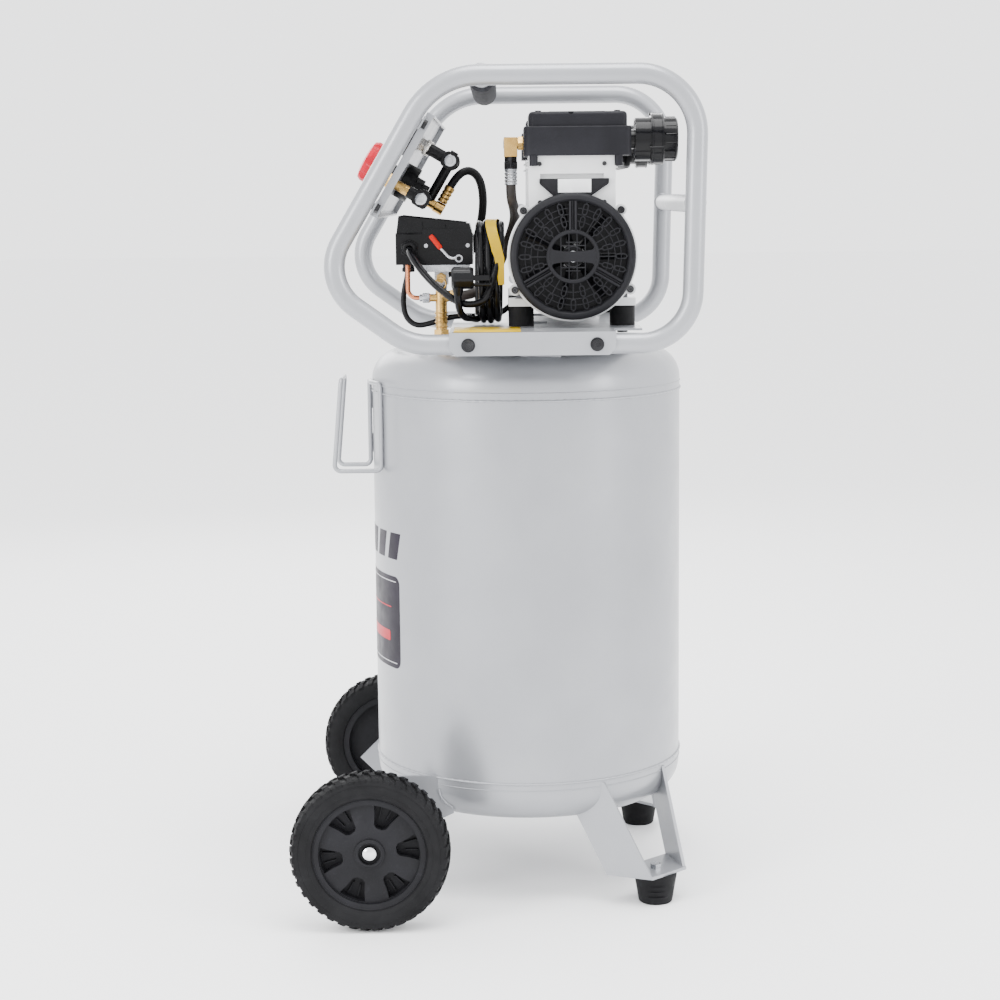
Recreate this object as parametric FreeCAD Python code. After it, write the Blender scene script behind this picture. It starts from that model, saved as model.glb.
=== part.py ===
"""Vertical tank compressor: a portable air compressor of about 76 litres (20 US gallons).

An upright welded tank stands on two wheels and two rubber feet. Two bent tube cages are bolted
to a sheet deck welded over the tank. They guard a twin-cylinder oil-free pump, a pressure switch
and a sloping control panel with a regulator, two gauges and two quick couplers.

Frame: millimetres, +Z up. -X is the front, where the control panel and the wheels are.
The sub-parts are made about the tank's axis, and then all move along X together, so that the
origin is at the middle of the underside of the object's box without its cords.
"""
import FreeCAD, Part
import math
import os

from FreeCAD import Placement, Rotation, Vector as V

# Driving dimensions
TANK_R = 206.0            # outside radius of the tank
TANK_WALL = 2.5
SEAM_LOW = 166.0          # height of the lower girth seam
SEAM_HIGH = 659.0         # height of the upper girth seam
HEAD_SKIRT = 14.0         # straight rim of each dished head
KNUCKLE_R = 40.0          # outside radius of the head's knuckle
KNUCKLE_END = 12.0        # angle off the axis where the knuckle meets the crown, degrees

WHEEL_R = 101.6           # 8 inch wheels
WHEEL_X = -203.0
WHEEL_Y = 270.0           # middle plane of each wheel
WHEEL_WIDTH = 48.0
AXLE_R = 8.0

FOOT_ANGLE = 47.0         # direction of each rear leg from +X, degrees
FOOT_RHO = 238.0          # distance of each foot from the tank's axis
FOOT_HEIGHT = 40.0

TUBE_R = 12.7             # 1 inch cage tube
TUBE_BORE = 11.2
CAGE_Y = 264.0            # middle plane of each cage
CAGE_CORNERS = [          # x, z and bend radius of the tube's centre line
    (-108.6, 1057.0, 93.0),
    (-252.5, 813.1, 60.0),
    (-144.4, 735.0, 80.0),
    (199.5, 735.0, 63.0),
    (207.5, 1057.0, 72.0),
]
DECK_BOLT_X = (-72.0, 84.0)
DECK_BOLT_Z = 735.0
HANDLE_X, HANDLE_Z = -53.0, 1057.0
REAR_BAR_X, REAR_BAR_Z = 204.0, 902.0

DECK_TOP = 750.3
SHEET = 2.5               # deck and panel sheet
PUMP_X, PUMP_Z = 57.5, 838.5   # the pump's shaft, along Y
SWITCH_BASE_Z = 826.0

PANEL_FRAME = Placement(V(-157, 0, 975), Rotation(V(0, 1, 0), -59.5))
GAUGE_U, GAUGE_Y = 17.0, 34.0      # in the panel's own plane
KNOB_U = -36.0
COUPLER_U, COUPLER_Y = -44.0, 78.0

HOSE_R = 6.5              # braided discharge hose
REGULATOR_HOSE_R = 5.5
MOTOR_CABLE_R = 3.75
CORD_R = 4.5              # mains lead
CORD_NODES = ("power_cord_lead", "power_cord_coil", "power_plug")

NODES = {}                # node name to shape, filled by the functions below


# General helpers

def box(x0, x1, y0, y1, z0, z1):
    """Return the block between the given limits."""
    return Part.makeBox(x1 - x0, y1 - y0, z1 - z0, V(x0, y0, z0))


def rod(start, end, radius, bore=0.0):
    """Return a cylinder from start to end, drilled through if a bore is given."""
    axis = end - start
    solid = Part.makeCylinder(radius, axis.Length, start, axis)
    if bore:
        solid = solid.cut(Part.makeCylinder(bore, axis.Length, start, axis))
    return solid


def rod_y(x, z, y0, y1, radius, bore=0.0):
    """Return a cylinder along Y."""
    return rod(V(x, min(y0, y1), z), V(x, max(y0, y1), z), radius, bore)


def rod_z(x, y, z0, z1, radius, bore=0.0):
    """Return a cylinder along Z."""
    return rod(V(x, y, z0), V(x, y, z1), radius, bore)


def lathe(profile, base=V(0, 0, 0), axis=V(0, 0, 1)):
    """Revolve (radius, height) points about the axis through base."""
    points = [V(radius, 0, height) for radius, height in profile]
    face = Part.Face(Part.makePolygon(points + points[:1]))
    solid = face.revolve(V(0, 0, 0), V(0, 0, 1), 360)
    solid.Placement = Placement(base, Rotation(V(0, 0, 1), axis))
    return solid


def prism(points, thickness):
    """Extrude a closed outline of points by the vector thickness."""
    return Part.Face(Part.makePolygon(points + points[:1])).extrude(thickness)


def hexagon(base, axis, across_flats, height):
    """Return a hexagonal prism standing on base along axis."""
    corner = across_flats / math.sqrt(3)
    points = []
    for index in range(6):
        angle = math.radians(60 * index + 30)
        points.append(V(corner * math.cos(angle), corner * math.sin(angle), 0))
    solid = prism(points, V(0, 0, height))
    solid.Placement = Placement(base, Rotation(V(0, 0, 1), axis))
    return solid


def fused(shapes):
    """Fuse the shapes into one."""
    if len(shapes) == 1:
        return shapes[0]
    return shapes[0].multiFuse(shapes[1:]).removeSplitter()


def cut_by(shape, tools):
    """Cut every tool out of the shape."""
    for tool in tools:
        shape = shape.cut(tool)
    return shape


def group(shapes):
    """Put separate solids into one node."""
    solids = []
    for shape in shapes:
        solids.extend(shape.Solids)
    return Part.makeCompound(solids)


def mirrored_y(shape):
    """Return the shape's mirror image on the other side of the XZ plane."""
    return shape.mirror(V(0, 0, 0), V(0, 1, 0))


def on_panel(shape):
    """Move a shape made in the panel's frame (u up the slope, y, n out of its face) into place."""
    moved = shape.copy()
    moved.Placement = PANEL_FRAME.multiply(moved.Placement)
    return moved


# Bent tubes

def corner_arcs(points, radii=None, closed=False):
    """Return for each corner its tangent points, arc centre, axis and turn in degrees.

    Without given radii, each arc is as large as its two runs allow: 0.45 of the shorter run,
    divided by the tangent of half the turn.
    """
    count = len(points)
    indices = range(count) if closed else range(1, count - 1)
    arcs = []
    for order, index in enumerate(indices):
        before = points[index] - points[index - 1]
        after = points[(index + 1) % count] - points[index]
        turn = before.getAngle(after)
        shorter = min(before.Length, after.Length)
        radius = radii[order] if radii else 0.45 * shorter / math.tan(turn / 2)
        reach = radius * math.tan(turn / 2)
        direction_in = V(before).normalize()
        direction_out = V(after).normalize()
        axis = direction_in.cross(direction_out).normalize()
        start = points[index] - direction_in * reach
        centre = start + axis.cross(direction_in) * radius
        arcs.append({
            "start": start, "end": points[index] + direction_out * reach, "centre": centre,
            "axis": axis, "turn": math.degrees(turn), "radius": radius, "heading": direction_in,
        })
    return arcs


def bent_tube(points, radius, radii=None, closed=False):
    """Return a round solid along straight runs joined by tangent arcs, and its length."""
    arcs = corner_arcs(points, radii, closed)
    pieces = []
    length = 0.0
    for arc in arcs:
        disc = Part.Face(Part.Wire(Part.makeCircle(radius, arc["start"], arc["heading"])))
        pieces.append(disc.revolve(arc["centre"], arc["axis"], arc["turn"]))
        length += arc["radius"] * math.radians(arc["turn"])
    starts = [arc["end"] for arc in arcs]
    ends = [arc["start"] for arc in arcs]
    if closed:
        ends = ends[1:] + ends[:1]
    else:
        starts = [points[0]] + starts
        ends = ends + [points[-1]]
    for start, end in zip(starts, ends):
        pieces.append(rod(start, end, radius))
        length += (end - start).Length
    return fused(pieces), length


def flexible(name, points, radius):
    """Make a hose's or cord's tube and print its bend radii, length and volume ratio."""
    solid, length = bent_tube(points, radius)
    radii = [arc["radius"] for arc in corner_arcs(points)]
    ratio = solid.Volume / (math.pi * radius ** 2 * length)
    shown = ", ".join("%.0f" % value for value in radii)
    print("%s: length %.0f, volume ratio %.3f, bend radii %s" % (name, length, ratio, shown))
    return solid, length


# Tank

def head_outline(radius, knuckle, closed_bottom):
    """Return the face of half a dished head: skirt, knuckle and crown, on the XZ plane."""
    end = math.radians(KNUCKLE_END)
    knuckle_x = TANK_R - KNUCKLE_R
    crown_to_knuckle = knuckle_x / math.sin(end)
    crown_z = HEAD_SKIRT - crown_to_knuckle * math.cos(end)
    crown = crown_to_knuckle + knuckle

    def on_knuckle(angle):
        return V(knuckle_x + knuckle * math.cos(angle), 0, HEAD_SKIRT + knuckle * math.sin(angle))

    def on_crown(angle):
        return V(crown * math.sin(angle), 0, crown_z + crown * math.cos(angle))

    meeting = math.pi / 2 - end
    edges = [
        Part.LineSegment(V(radius, 0, 0), V(radius, 0, HEAD_SKIRT)).toShape(),
        Part.Arc(on_knuckle(0), on_knuckle(meeting / 2), on_knuckle(meeting)).toShape(),
        Part.Arc(on_crown(end), on_crown(end / 2), on_crown(0)).toShape(),
        Part.LineSegment(on_crown(0), V(0, 0, closed_bottom)).toShape(),
        Part.LineSegment(V(0, 0, closed_bottom), V(radius, 0, closed_bottom)).toShape(),
    ]
    if closed_bottom:
        edges.append(Part.LineSegment(V(radius, 0, closed_bottom), V(radius, 0, 0)).toShape())
    return Part.Face(Part.Wire(edges))


def filled_head():
    """Return a head with nothing hollowed out, standing on z = 0."""
    outline = head_outline(TANK_R, KNUCKLE_R, 0)
    return outline.revolve(V(0, 0, 0), V(0, 0, 1), 360)


def hollow_head():
    """Return a pressed head of even thickness, standing on z = 0."""
    below = -20.0
    inner = head_outline(TANK_R - TANK_WALL, KNUCKLE_R - TANK_WALL, below)
    return filled_head().cut(inner.revolve(V(0, 0, 0), V(0, 0, 1), 360))


def placed_top(shape):
    """Stand a head on the upper seam."""
    shape.Placement = Placement(V(0, 0, SEAM_HIGH), Rotation())
    return shape


def placed_bottom(shape):
    """Hang a head under the lower seam."""
    shape.Placement = Placement(V(0, 0, SEAM_LOW), Rotation(V(1, 0, 0), 180))
    return shape


def tank_envelope():
    """Return the tank's whole outer volume, to trim what is welded to it."""
    barrel = rod_z(0, 0, SEAM_LOW, SEAM_HIGH, TANK_R)
    return fused([barrel, placed_top(filled_head()), placed_bottom(filled_head())])


PIPE_X, PIPE_Y = -110.0, -40.0       # pressure switch pipe's port in the top head
CHECK_X, CHECK_Y = -110.0, -72.0     # check valve's port


def make_tank():
    """Shell, two dished heads with their welded ports, and the drain valve."""
    NODES["tank_shell"] = rod_z(0, 0, SEAM_LOW, SEAM_HIGH, TANK_R, TANK_R - TANK_WALL)
    top = placed_top(hollow_head())
    top = fused([top, rod_z(PIPE_X, PIPE_Y, 716, 728, 12), rod_z(CHECK_X, CHECK_Y, 714, 727, 14)])
    top = cut_by(top, [rod_z(PIPE_X, PIPE_Y, 700, 740, 6.95), rod_z(CHECK_X, CHECK_Y, 700, 740, 8.1)])
    NODES["tank_top_head"] = top
    bottom = fused([placed_bottom(hollow_head()), rod_z(0, 0, 88, 97.5, 12)])
    NODES["tank_bottom_head"] = bottom.cut(rod_z(0, 0, 80, 110, 4.1))

    body = fused([rod_z(0, 0, 80, 104, 4.0), hexagon(V(0, 0, 78), V(0, 0, 1), 15, 9.9)])
    NODES["drain_valve"] = body.cut(rod_z(0, 0, 70, 86, 2.56))
    wing = fused([
        rod_z(0, 0, 73, 85, 2.5), rod_z(0, 0, 73, 77.6, 6), box(-13, 13, -1.2, 1.2, 69, 76),
    ])
    NODES["drain_wing"] = wing


# Wheels, legs and hook

def make_axle():
    """Two bracket plates welded under the tank, the axle with its spacers, and its caps."""
    envelope = tank_envelope()
    corners = [(-244, 104), (-180, 168), (-100, 168), (-100, 118), (-196, 74), (-214, 74)]
    plates = []
    for side in (-1, 1):
        plate = prism([V(x, side * 162.5, z) for x, z in corners], V(0, side * 5, 0))
        hole = rod_y(WHEEL_X, WHEEL_R, -200, 200, AXLE_R + 0.1)
        plates.append(cut_by(plate, [envelope, hole]))
    NODES["axle_brackets"] = group(plates)

    end = WHEEL_Y + 12
    pieces = [rod_y(WHEEL_X, WHEEL_R, -end, end, AXLE_R)]
    caps = []
    for side in (-1, 1):
        pieces.append(rod_y(WHEEL_X, WHEEL_R, side * 167.6, side * 244, 12, AXLE_R + 0.05))
        cap = [(0, 0.05), (9.5, 0.05), (9.5, 2), (8.4, 4), (6, 5.4), (3, 6), (0, 6.2)]
        caps.append(lathe(cap, V(WHEEL_X, side * end, WHEEL_R), V(0, side, 0)))
    NODES["axle"] = group(pieces)
    NODES["axle_caps"] = group(caps)


def wheel_pocket(angle):
    """Return the space between two wide spokes, 14 deep, at an angle in degrees."""
    lower = [V(34, -4, 1), V(37, -8, 1), V(49, -12, 1), V(60, -17, 1), V(62.6, -8.5, 1)]
    upper = [V(corner.x, -corner.y, 1) for corner in reversed(lower)]
    pocket = prism(lower + upper, V(0, 0, 20))
    pocket.rotate(V(0, 0, 0), V(0, 0, 1), angle)
    return pocket


def wheel_hub():
    """Return the moulded hub about Z, with its outer face up."""
    barrel = lathe([(64, -20), (72, -20), (72, 20), (64, 20)])
    disc = rod_z(0, 0, -4, 15, 65)
    boss = rod_z(0, 0, -23, 17, 19)
    hub = fused([barrel, disc, boss])
    for index in range(6):
        hub = hub.cut(wheel_pocket(8 + 60 * index))
    return cut_by(hub, [rod_z(0, 0, -30, 30, AXLE_R + 0.08), rod_z(0, 0, 11, 20, 14)])


def make_wheels():
    """Rubber tyres on moulded six-spoke hubs."""
    half = WHEEL_WIDTH / 2
    tread = half - 9
    tyre = [
        (72.1, -20), (80, -half), (95, -half), (WHEEL_R, -tread),
        (WHEEL_R, tread), (95, half), (80, half), (72.1, 20),
    ]
    for name, side in (("near", -1), ("far", 1)):
        centre = V(WHEEL_X, side * WHEEL_Y, WHEEL_R)
        NODES["wheel_%s_tyre" % name] = lathe(tyre, centre, V(0, side, 0))
        hub = wheel_hub()
        hub.Placement = Placement(centre, Rotation(V(1, 0, 0), -90 * side))
        NODES["wheel_%s_hub" % name] = hub


def leg_solid():
    """Return one rear leg along +X: a foot plate folded up into two arms, before trimming."""
    def point(radial, across, height):
        return V(radial, across, height)

    inner, outer = 207.0, 263.0
    plate = prism([
        point(inner, -59, 40), point(outer, -32, 40), point(outer, 32, 40), point(inner, 59, 40),
    ], V(0, 0, 4))
    arms = []
    for side in (-1, 1):
        foot_in = point(inner, side * 59, 40)
        foot_out = point(outer, side * 32, 40)
        rise = V(-62.4, side * 25.4, 122.2)
        across = (foot_out - foot_in).cross(rise).normalize() * 4
        if across.y * side > 0:
            across = across * -1
        arms.append(prism([foot_in, foot_out, foot_out + rise, foot_in + rise], across))
    leg = fused([plate] + arms)
    return leg.cut(rod_z(FOOT_RHO, 0, 30, 50, 4.3))


def make_legs():
    """Two folded sheet legs trimmed to the tank, each on a rubber foot held by a bolt."""
    envelope = tank_envelope()
    legs = []
    feet = []
    bolts = []
    top = FOOT_HEIGHT
    profile = [(0, 0), (20.5, 0), (22, 1.5), (28, top - 3), (28, top), (4.2, top), (4.2, 8), (0, 8)]
    for side in (-1, 1):
        turn = side * FOOT_ANGLE
        leg = leg_solid()
        leg.rotate(V(0, 0, 0), V(0, 0, 1), turn)
        legs.append(leg.cut(envelope))
        angle = math.radians(turn)
        x, y = FOOT_RHO * math.cos(angle), FOOT_RHO * math.sin(angle)
        feet.append(lathe(profile, V(x, y, 0)))
        bolts.append(fused([rod_z(x, y, 9, 48, 4.0), hexagon(V(x, y, 44.05), V(0, 0, 1), 13, 6)]))
    NODES["leg_brackets"] = group(legs)
    NODES["rubber_feet"] = group(feet)
    NODES["foot_bolts"] = group(bolts)


def make_hose_hook():
    """A closed wire loop welded to the tank's front, for a coiled air hose."""
    near, far = -85.0, -15.0
    loop = [
        V(-242, near, 678), V(-253, near, 558), V(-190.8, near, 558), V(-190.8, near, 672),
        V(-205.5, -50, 672), V(-209.2, far, 672), V(-209.2, far, 558), V(-253, far, 558),
        V(-242, far, 678),
    ]
    bends = [10, 8, 8, 10, 60, 8, 8, 8, 10]
    wire = bent_tube(loop, 3.0, bends, closed=True)[0]
    NODES["hose_hook"] = wire.cut(tank_envelope())


# Cages, handle and deck

def cage_solid(side, radius):
    """Return one cage's tube, of the given radius, as a solid bar."""
    points = [V(x, side * CAGE_Y, z) for x, z, bend in CAGE_CORNERS]
    bends = [bend for x, z, bend in CAGE_CORNERS]
    return bent_tube(points, radius, bends, closed=True)[0]


def make_cages():
    """Two closed tube frames, the two bars welded between them, and the foam grip."""
    outer = {}
    for name, side in (("near", -1), ("far", 1)):
        outer[name] = cage_solid(side, TUBE_R)
        cage = outer[name].cut(cage_solid(side, TUBE_BORE))
        for x in DECK_BOLT_X:
            cage = cage.cut(rod_y(x, DECK_BOLT_Z, -300, 300, 4.2))
        NODES["cage_" + name] = cage

    bars = []
    for x, z, radius in ((HANDLE_X, HANDLE_Z, TUBE_R), (REAR_BAR_X, REAR_BAR_Z, 11.5)):
        bar = rod_y(x, z, -CAGE_Y, CAGE_Y, radius, radius - 1.5)
        bars.append(cut_by(bar, [outer["near"], outer["far"]]).Solids[0])
    NODES["cage_crossbars"] = group(bars)
    grip = rod_y(HANDLE_X, HANDLE_Z, -200, 200, 17.0, TUBE_R + 0.1)
    NODES["handle_grip"] = grip


FLANGE_Y = CAGE_Y + TUBE_R + 0.1     # inner face of the deck's side flanges
ISOLATOR_X, ISOLATOR_Y = 64.0, 150.0  # rubber mounts, from the pump's middle


def make_deck():
    """The sheet deck with folded sides, the saddle strap welded over the tank, and their bolts."""
    thick = SHEET
    top = DECK_TOP
    outside = FLANGE_Y + thick
    plate = fused([
        box(-95, 107, -outside, outside, top - thick, top), box(100, 142, -225, 225, top - thick, top),
    ])
    sides = []
    for side in (-1, 1):
        corners = [(-95, top), (-95, 730), (-87, 722), (99, 722), (107, 730), (107, top)]
        sides.append(prism([V(x, side * FLANGE_Y, z) for x, z in corners], V(0, side * thick, 0)))
    deck = fused([plate] + sides)
    for x in DECK_BOLT_X:
        deck = deck.cut(rod_y(x, DECK_BOLT_Z, -300, 300, 4.2))
    for x, y in isolator_places():
        deck = deck.cut(rod_z(x, y, 740, 760, 4.2))
    slots = box(8, 28, -120, -60, 740, 760)
    slot_far = box(8, 28, 60, 120, 740, 760)
    NODES["deck"] = cut_by(deck, [slots, slot_far])

    strap_top = top - thick - 0.05
    strap = fused([
        box(-8, 43, -168, 168, strap_top - 3, strap_top),
        box(-8, 43, -168, -165, 690, strap_top), box(-8, 43, 165, 168, 690, strap_top),
    ])
    notches = [rod_z(x, y, 735, 750, 8.6) for x, y in isolator_places()]
    NODES["deck_saddle"] = cut_by(strap, [tank_envelope()] + notches)

    bolts = []
    for side in (-1, 1):
        for x in DECK_BOLT_X:
            outer = side * (outside + 0.05)
            washer = rod_y(x, DECK_BOLT_Z, outer, outer + side * 1.6, 8.5)
            head = hexagon(V(x, outer + side * 1.6, DECK_BOLT_Z), V(0, side, 0), 12, 5.5)
            shank = rod_y(x, DECK_BOLT_Z, side * (CAGE_Y - 20), outer, 4.0)
            nut = hexagon(V(x, side * (CAGE_Y - TUBE_R - 0.4), DECK_BOLT_Z), V(0, -side, 0), 13, 6.4)
            bolts.append(fused([washer, head, shank]))
            bolts.append(nut.cut(rod_y(x, DECK_BOLT_Z, -300, 300, 4.05)))
    for x, y in isolator_places():
        stud = fused([rod_z(x, y, 742, 761, 4.0), hexagon(V(x, y, 741), V(0, 0, 1), 13, 6.5)])
        bolts.append(stud)
        upper = fused([rod_z(x, y, 765, 790, 4.0), hexagon(V(x, y, 785.05), V(0, 0, 1), 13, 5)])
        bolts.append(upper)
    NODES["deck_bolts"] = group(bolts)


def isolator_places():
    """Return the x and y of the pump's four rubber mounts."""
    return [(PUMP_X + sx * ISOLATOR_X, sy * ISOLATOR_Y) for sx in (-1, 1) for sy in (-1, 1)]


# Control panel, made in the panel's own frame: x = u up the slope, z = n out of its face

PANEL_FACE = -13.0


def bar_u(y, n, u0, u1, radius):
    """Return a round bar up the slope of the panel."""
    return rod(V(u0, y, n), V(u1, y, n), radius)


def bar_n(u, y, n0, n1, radius, bore=0.0):
    """Return a round bar square to the panel."""
    return rod(V(u, y, n0), V(u, y, n1), radius, bore)


def make_control_panel():
    """The sheet panel with folded edges and the ears that are bolted to the cages."""
    back = PANEL_FACE - SHEET
    half = 238.0
    panel = fused([
        box(-88, 54, -half, half, back, PANEL_FACE),
        box(-88, 54, -half, -half + SHEET, back - 7, PANEL_FACE),
        box(-88, 54, half - SHEET, half, back - 7, PANEL_FACE),
        box(54 - SHEET, 54, -half, half, back - 8, PANEL_FACE),
        box(-88, -88 + SHEET, -half, half, back - 8, PANEL_FACE),
    ])
    ears = []
    for side in (-1, 1):
        y0, y1 = sorted((side * (half - 1), side * 262))
        for u0, u1 in ((30, 48), (-86, -68)):
            ears.append(box(u0, u1, y0, y1, back, PANEL_FACE - 0.2))
    panel = fused([panel] + ears)
    holes = [bar_n(KNOB_U, 0, -30, 0, 13.3)]
    for side in (-1, 1):
        holes.append(bar_n(GAUGE_U, side * GAUGE_Y, -30, 0, 7.0))
        holes.append(bar_n(COUPLER_U, side * COUPLER_Y, -30, 0, 7.0))
    placed = on_panel(cut_by(panel, holes))
    for name in ("near", "far"):
        side = -1 if name == "near" else 1
        placed = placed.cut(cage_solid(side, TUBE_R + 0.1))
    largest = max(placed.Solids, key=lambda solid: solid.Volume)
    NODES["control_panel"] = largest


def make_regulator():
    """The regulator's bonnet and body behind the panel, and the knob on its spindle."""
    body = lathe([
        (0, -44.4), (14, -44.4), (14, -33), (24, -33), (24, -15.6), (13, -15.6), (13, 7.6),
        (4, 7.6), (4, 30), (0, 30),
    ], V(KNOB_U, 0, 0))
    NODES["regulator_body"] = on_panel(body)

    knob = lathe([
        (4.08, 8), (28, 8), (29, 11), (29, 33), (26, 38), (20, 40), (0, 40), (0, 31), (4.08, 31),
    ], V(KNOB_U, 0, 0))
    for index in range(8):
        angle = math.radians(45 * index)
        reach = 35.0
        u, y = KNOB_U + reach * math.cos(angle), reach * math.sin(angle)
        knob = knob.cut(bar_n(u, y, 5, 45, 9.5))
    NODES["regulator_knob"] = on_panel(knob)


def make_manifold():
    """The black pipe frame that feeds the regulator, the gauges and the couplers."""
    upper, lower, radius = -60.0, -53.0, 8.0
    pieces = [
        rod(V(GAUGE_U, -48, upper), V(GAUGE_U, 48, upper), radius),
        rod(V(COUPLER_U, -92, lower), V(COUPLER_U, 92, lower), radius),
        bar_u(0, upper, COUPLER_U, GAUGE_U, 6.5),
        bar_n(KNOB_U, 0, lower, -44.45, 10),
    ]
    for side in (-1, 1):
        pieces.append(bar_n(GAUGE_U, side * GAUGE_Y, upper, -28.05, radius))
        pieces.append(bar_n(COUPLER_U, side * COUPLER_Y, lower, -33.05, radius))
        for u, y, n in ((GAUGE_U, 44, upper), (COUPLER_U, 86, lower)):
            pieces.append(rod(V(u, side * y, n), V(u, side * (y + 6), n), 11.0))
    NODES["manifold"] = on_panel(fused(pieces))


def gauge_needle():
    """Return a gauge needle about n, pointing down to the left of its dial."""
    pointer = prism([V(0, -1.2, 1), V(17, -0.4, 1), V(17, 0.4, 1), V(0, 1.2, 1)], V(0, 0, 0.6))
    tail = box(-6, 0, -1.5, 1.5, 1, 1.6)
    hub = rod_z(0, 0, 0.3, 2.3, 2.5)
    needle = fused([pointer, tail, hub])
    needle.rotate(V(0, 0, 0), V(0, 0, 1), 135)
    return needle


def make_gauges():
    """Two pressure gauges: cases, lenses and needles."""
    cases = []
    lenses = []
    outline = [
        (0, -28), (6.5, -28), (6.5, -13), (25, -12.9), (25, 3), (24, 4), (22.5, 4), (22.5, 0), (0, 0),
    ]
    for name, side in (("tank", 1), ("outlet", -1)):
        place = V(GAUGE_U, side * GAUGE_Y, 0)
        cases.append(on_panel(lathe(outline, place)))
        lenses.append(on_panel(bar_n(place.x, place.y, 2.8, 3.8, 22.45)))
        needle = gauge_needle()
        needle.translate(place)
        NODES[name + "_gauge_needle"] = on_panel(needle)
    NODES["gauge_cases"] = group(cases)
    NODES["gauge_lenses"] = group(lenses)


def make_couplers():
    """Two female quick couplers on stems through the panel, each with a sliding sleeve."""
    couplers = []
    for name, side in (("near", -1), ("far", 1)):
        y = side * COUPLER_Y
        hexed = hexagon(V(COUPLER_U, y, -13), V(0, 0, 1), 19, 10)
        coupler = fused([bar_n(COUPLER_U, y, -33, -12, 6.5), hexed, bar_n(COUPLER_U, y, -4, 24, 7.6)])
        couplers.append(on_panel(coupler.cut(bar_n(COUPLER_U, y, 4, 30, 5.6))))
        sleeve = lathe([
            (7.7, 2), (11, 2), (12, 3.5), (12, 8), (10.8, 9.5), (10.8, 13), (12, 14.5), (12, 18.5),
            (11, 20), (7.7, 20),
        ], V(COUPLER_U, y, 0))
        NODES["coupler_sleeve_" + name] = on_panel(sleeve)
    NODES["couplers"] = group(couplers)


# Pressure switch and the pipework under it

SWITCH_X0, SWITCH_X1 = -168.0, -68.0
SWITCH_Y0, SWITCH_Y1 = -78.0, -8.0
LEVER_Y = -86.0


def make_switch():
    """The pressure switch: base, cover and the on/off lever on its near face."""
    low = SWITCH_BASE_Z
    x0, x1, y0, y1 = SWITCH_X0, SWITCH_X1, SWITCH_Y0, SWITCH_Y1
    base = box(x0, x1, y0, y1, low, low + 40).cut(box(x0 + 4, x1 - 4, y0 + 4, y1 - 4, low + 6, 900))
    pivot = rod(V(-86, y0 + 1, 834), V(-86, -90.5, 834), 3.0)
    base = fused([
        base, rod(V(-150, y0 + 2, 847), V(-150, -91, 847), 9), rod_z(-153, -50, low - 10, low + 2, 7.5),
        pivot,
    ])
    base = cut_by(base, [
        rod(V(-150, -60, 847), V(-150, -93, 847), CORD_R + 0.1),
        rod_z(-153, -50, low - 11, low + 8, MOTOR_CABLE_R + 0.1),
        rod_z(-153, -68, low - 2, low + 8, 3.2),
    ])
    NODES["switch_base"] = base

    seam = low + 40.05
    profile = [V(x0 + 1, y0 + 1, seam), V(x1 - 1, y0 + 1, seam), V(x1 - 4, y0 + 1, 879),
               V(x0 + 4, y0 + 1, 889)]
    cover = prism(profile, V(0, y1 - y0 - 2, 0))
    hollow = [V(x0 + 4, y0 + 4, seam - 5), V(x1 - 4, y0 + 4, seam - 5), V(x1 - 7, y0 + 4, 876),
              V(x0 + 7, y0 + 4, 886)]
    cover = cover.cut(prism(hollow, V(0, y1 - y0 - 8, 0)))
    apron = box(-133, -70, y0 - 2.1, y0 - 0.1, 846, 872)
    tab = box(-133, -70, y0 - 2.1, y0 + 2, seam, 872)
    NODES["switch_cover"] = fused([cover, apron, tab])

    y = LEVER_Y
    rodded = bent_tube([V(-86, y, 834), V(-98, y, 834.5), V(-112, y, 850)], 1.8, [7])[0]
    collar = rod(V(-86, y - 3, 834), V(-86, y + 3, 834), 5, 3.06)
    lever = fused([rodded, collar]).cut(rod(V(-86, y - 10, 834), V(-86, y + 10, 834), 3.06))
    grip = rod(V(-109, y, 846.7), V(-122.5, y, 864), 3.8)
    NODES["switch_lever"] = fused([lever, grip])


def make_pipework():
    """Riser pipe with its cross, relief valve and ring, check valve and unloader tube."""
    x, y = PIPE_X, PIPE_Y
    pipe = fused([
        rod_z(x, y, 716, 800, 6.85), box(x - 9, x + 9, y - 9, y + 9, 799, 818),
        rod_z(x, y, 817, SWITCH_BASE_Z - 0.05, 7.5),
    ])
    NODES["switch_pipe"] = pipe

    valve = fused([
        hexagon(V(x, y - 9.05, 808), V(0, -1, 0), 12, 9), rod(V(x, y - 10, 808), V(x, y - 34, 808), 5.5),
    ])
    NODES["relief_valve"] = valve.cut(rod(V(x, y - 25, 808), V(x, y - 40, 808), 1.56))
    stem_start = V(x, y - 27, 808)
    ring_y = y - 46
    ring = Part.makeTorus(7.0, 1.1, V(x, ring_y, 801.4), V(0, 1, 0))
    NODES["relief_ring"] = fused([rod(stem_start, V(x, ring_y + 0.5, 808), 1.5), ring])

    x, y = CHECK_X, CHECK_Y
    check = fused([
        rod_z(x, y, 716, 735, 8.0), hexagon(V(x, y, 728), V(0, 0, 1), 19, 14),
        rod_z(x, y, 740, 790, 7.5), rod(V(x, y, 783), V(x - 14, y, 783), 5.0),
        rod(V(x, y, 785), V(x + 20, y, 785), 7.0), hexagon(V(x + 12, y, 785), V(1, 0, 0), 16, 12.9),
    ])
    NODES["check_valve"] = check

    tube_x = -153.0
    route = [V(tube_x, -68, SWITCH_BASE_Z + 4), V(tube_x, -68, 783), V(-130, -71, 783)]
    tube = bent_tube(route, 3.0, [11])[0]
    nut = hexagon(V(-134, -72, 783), V(1, 0, 0), 11, 9.95)
    NODES["unloader_tube"] = fused([tube, nut])


# Pump: a motor between two crankcases, each with one wobble-piston cylinder

BORE_Y = 147.0            # cylinder axes, either side
CASE_IN, CASE_OUT = 105.0, 188.0
BLOCK_TOP = 962.0


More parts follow.
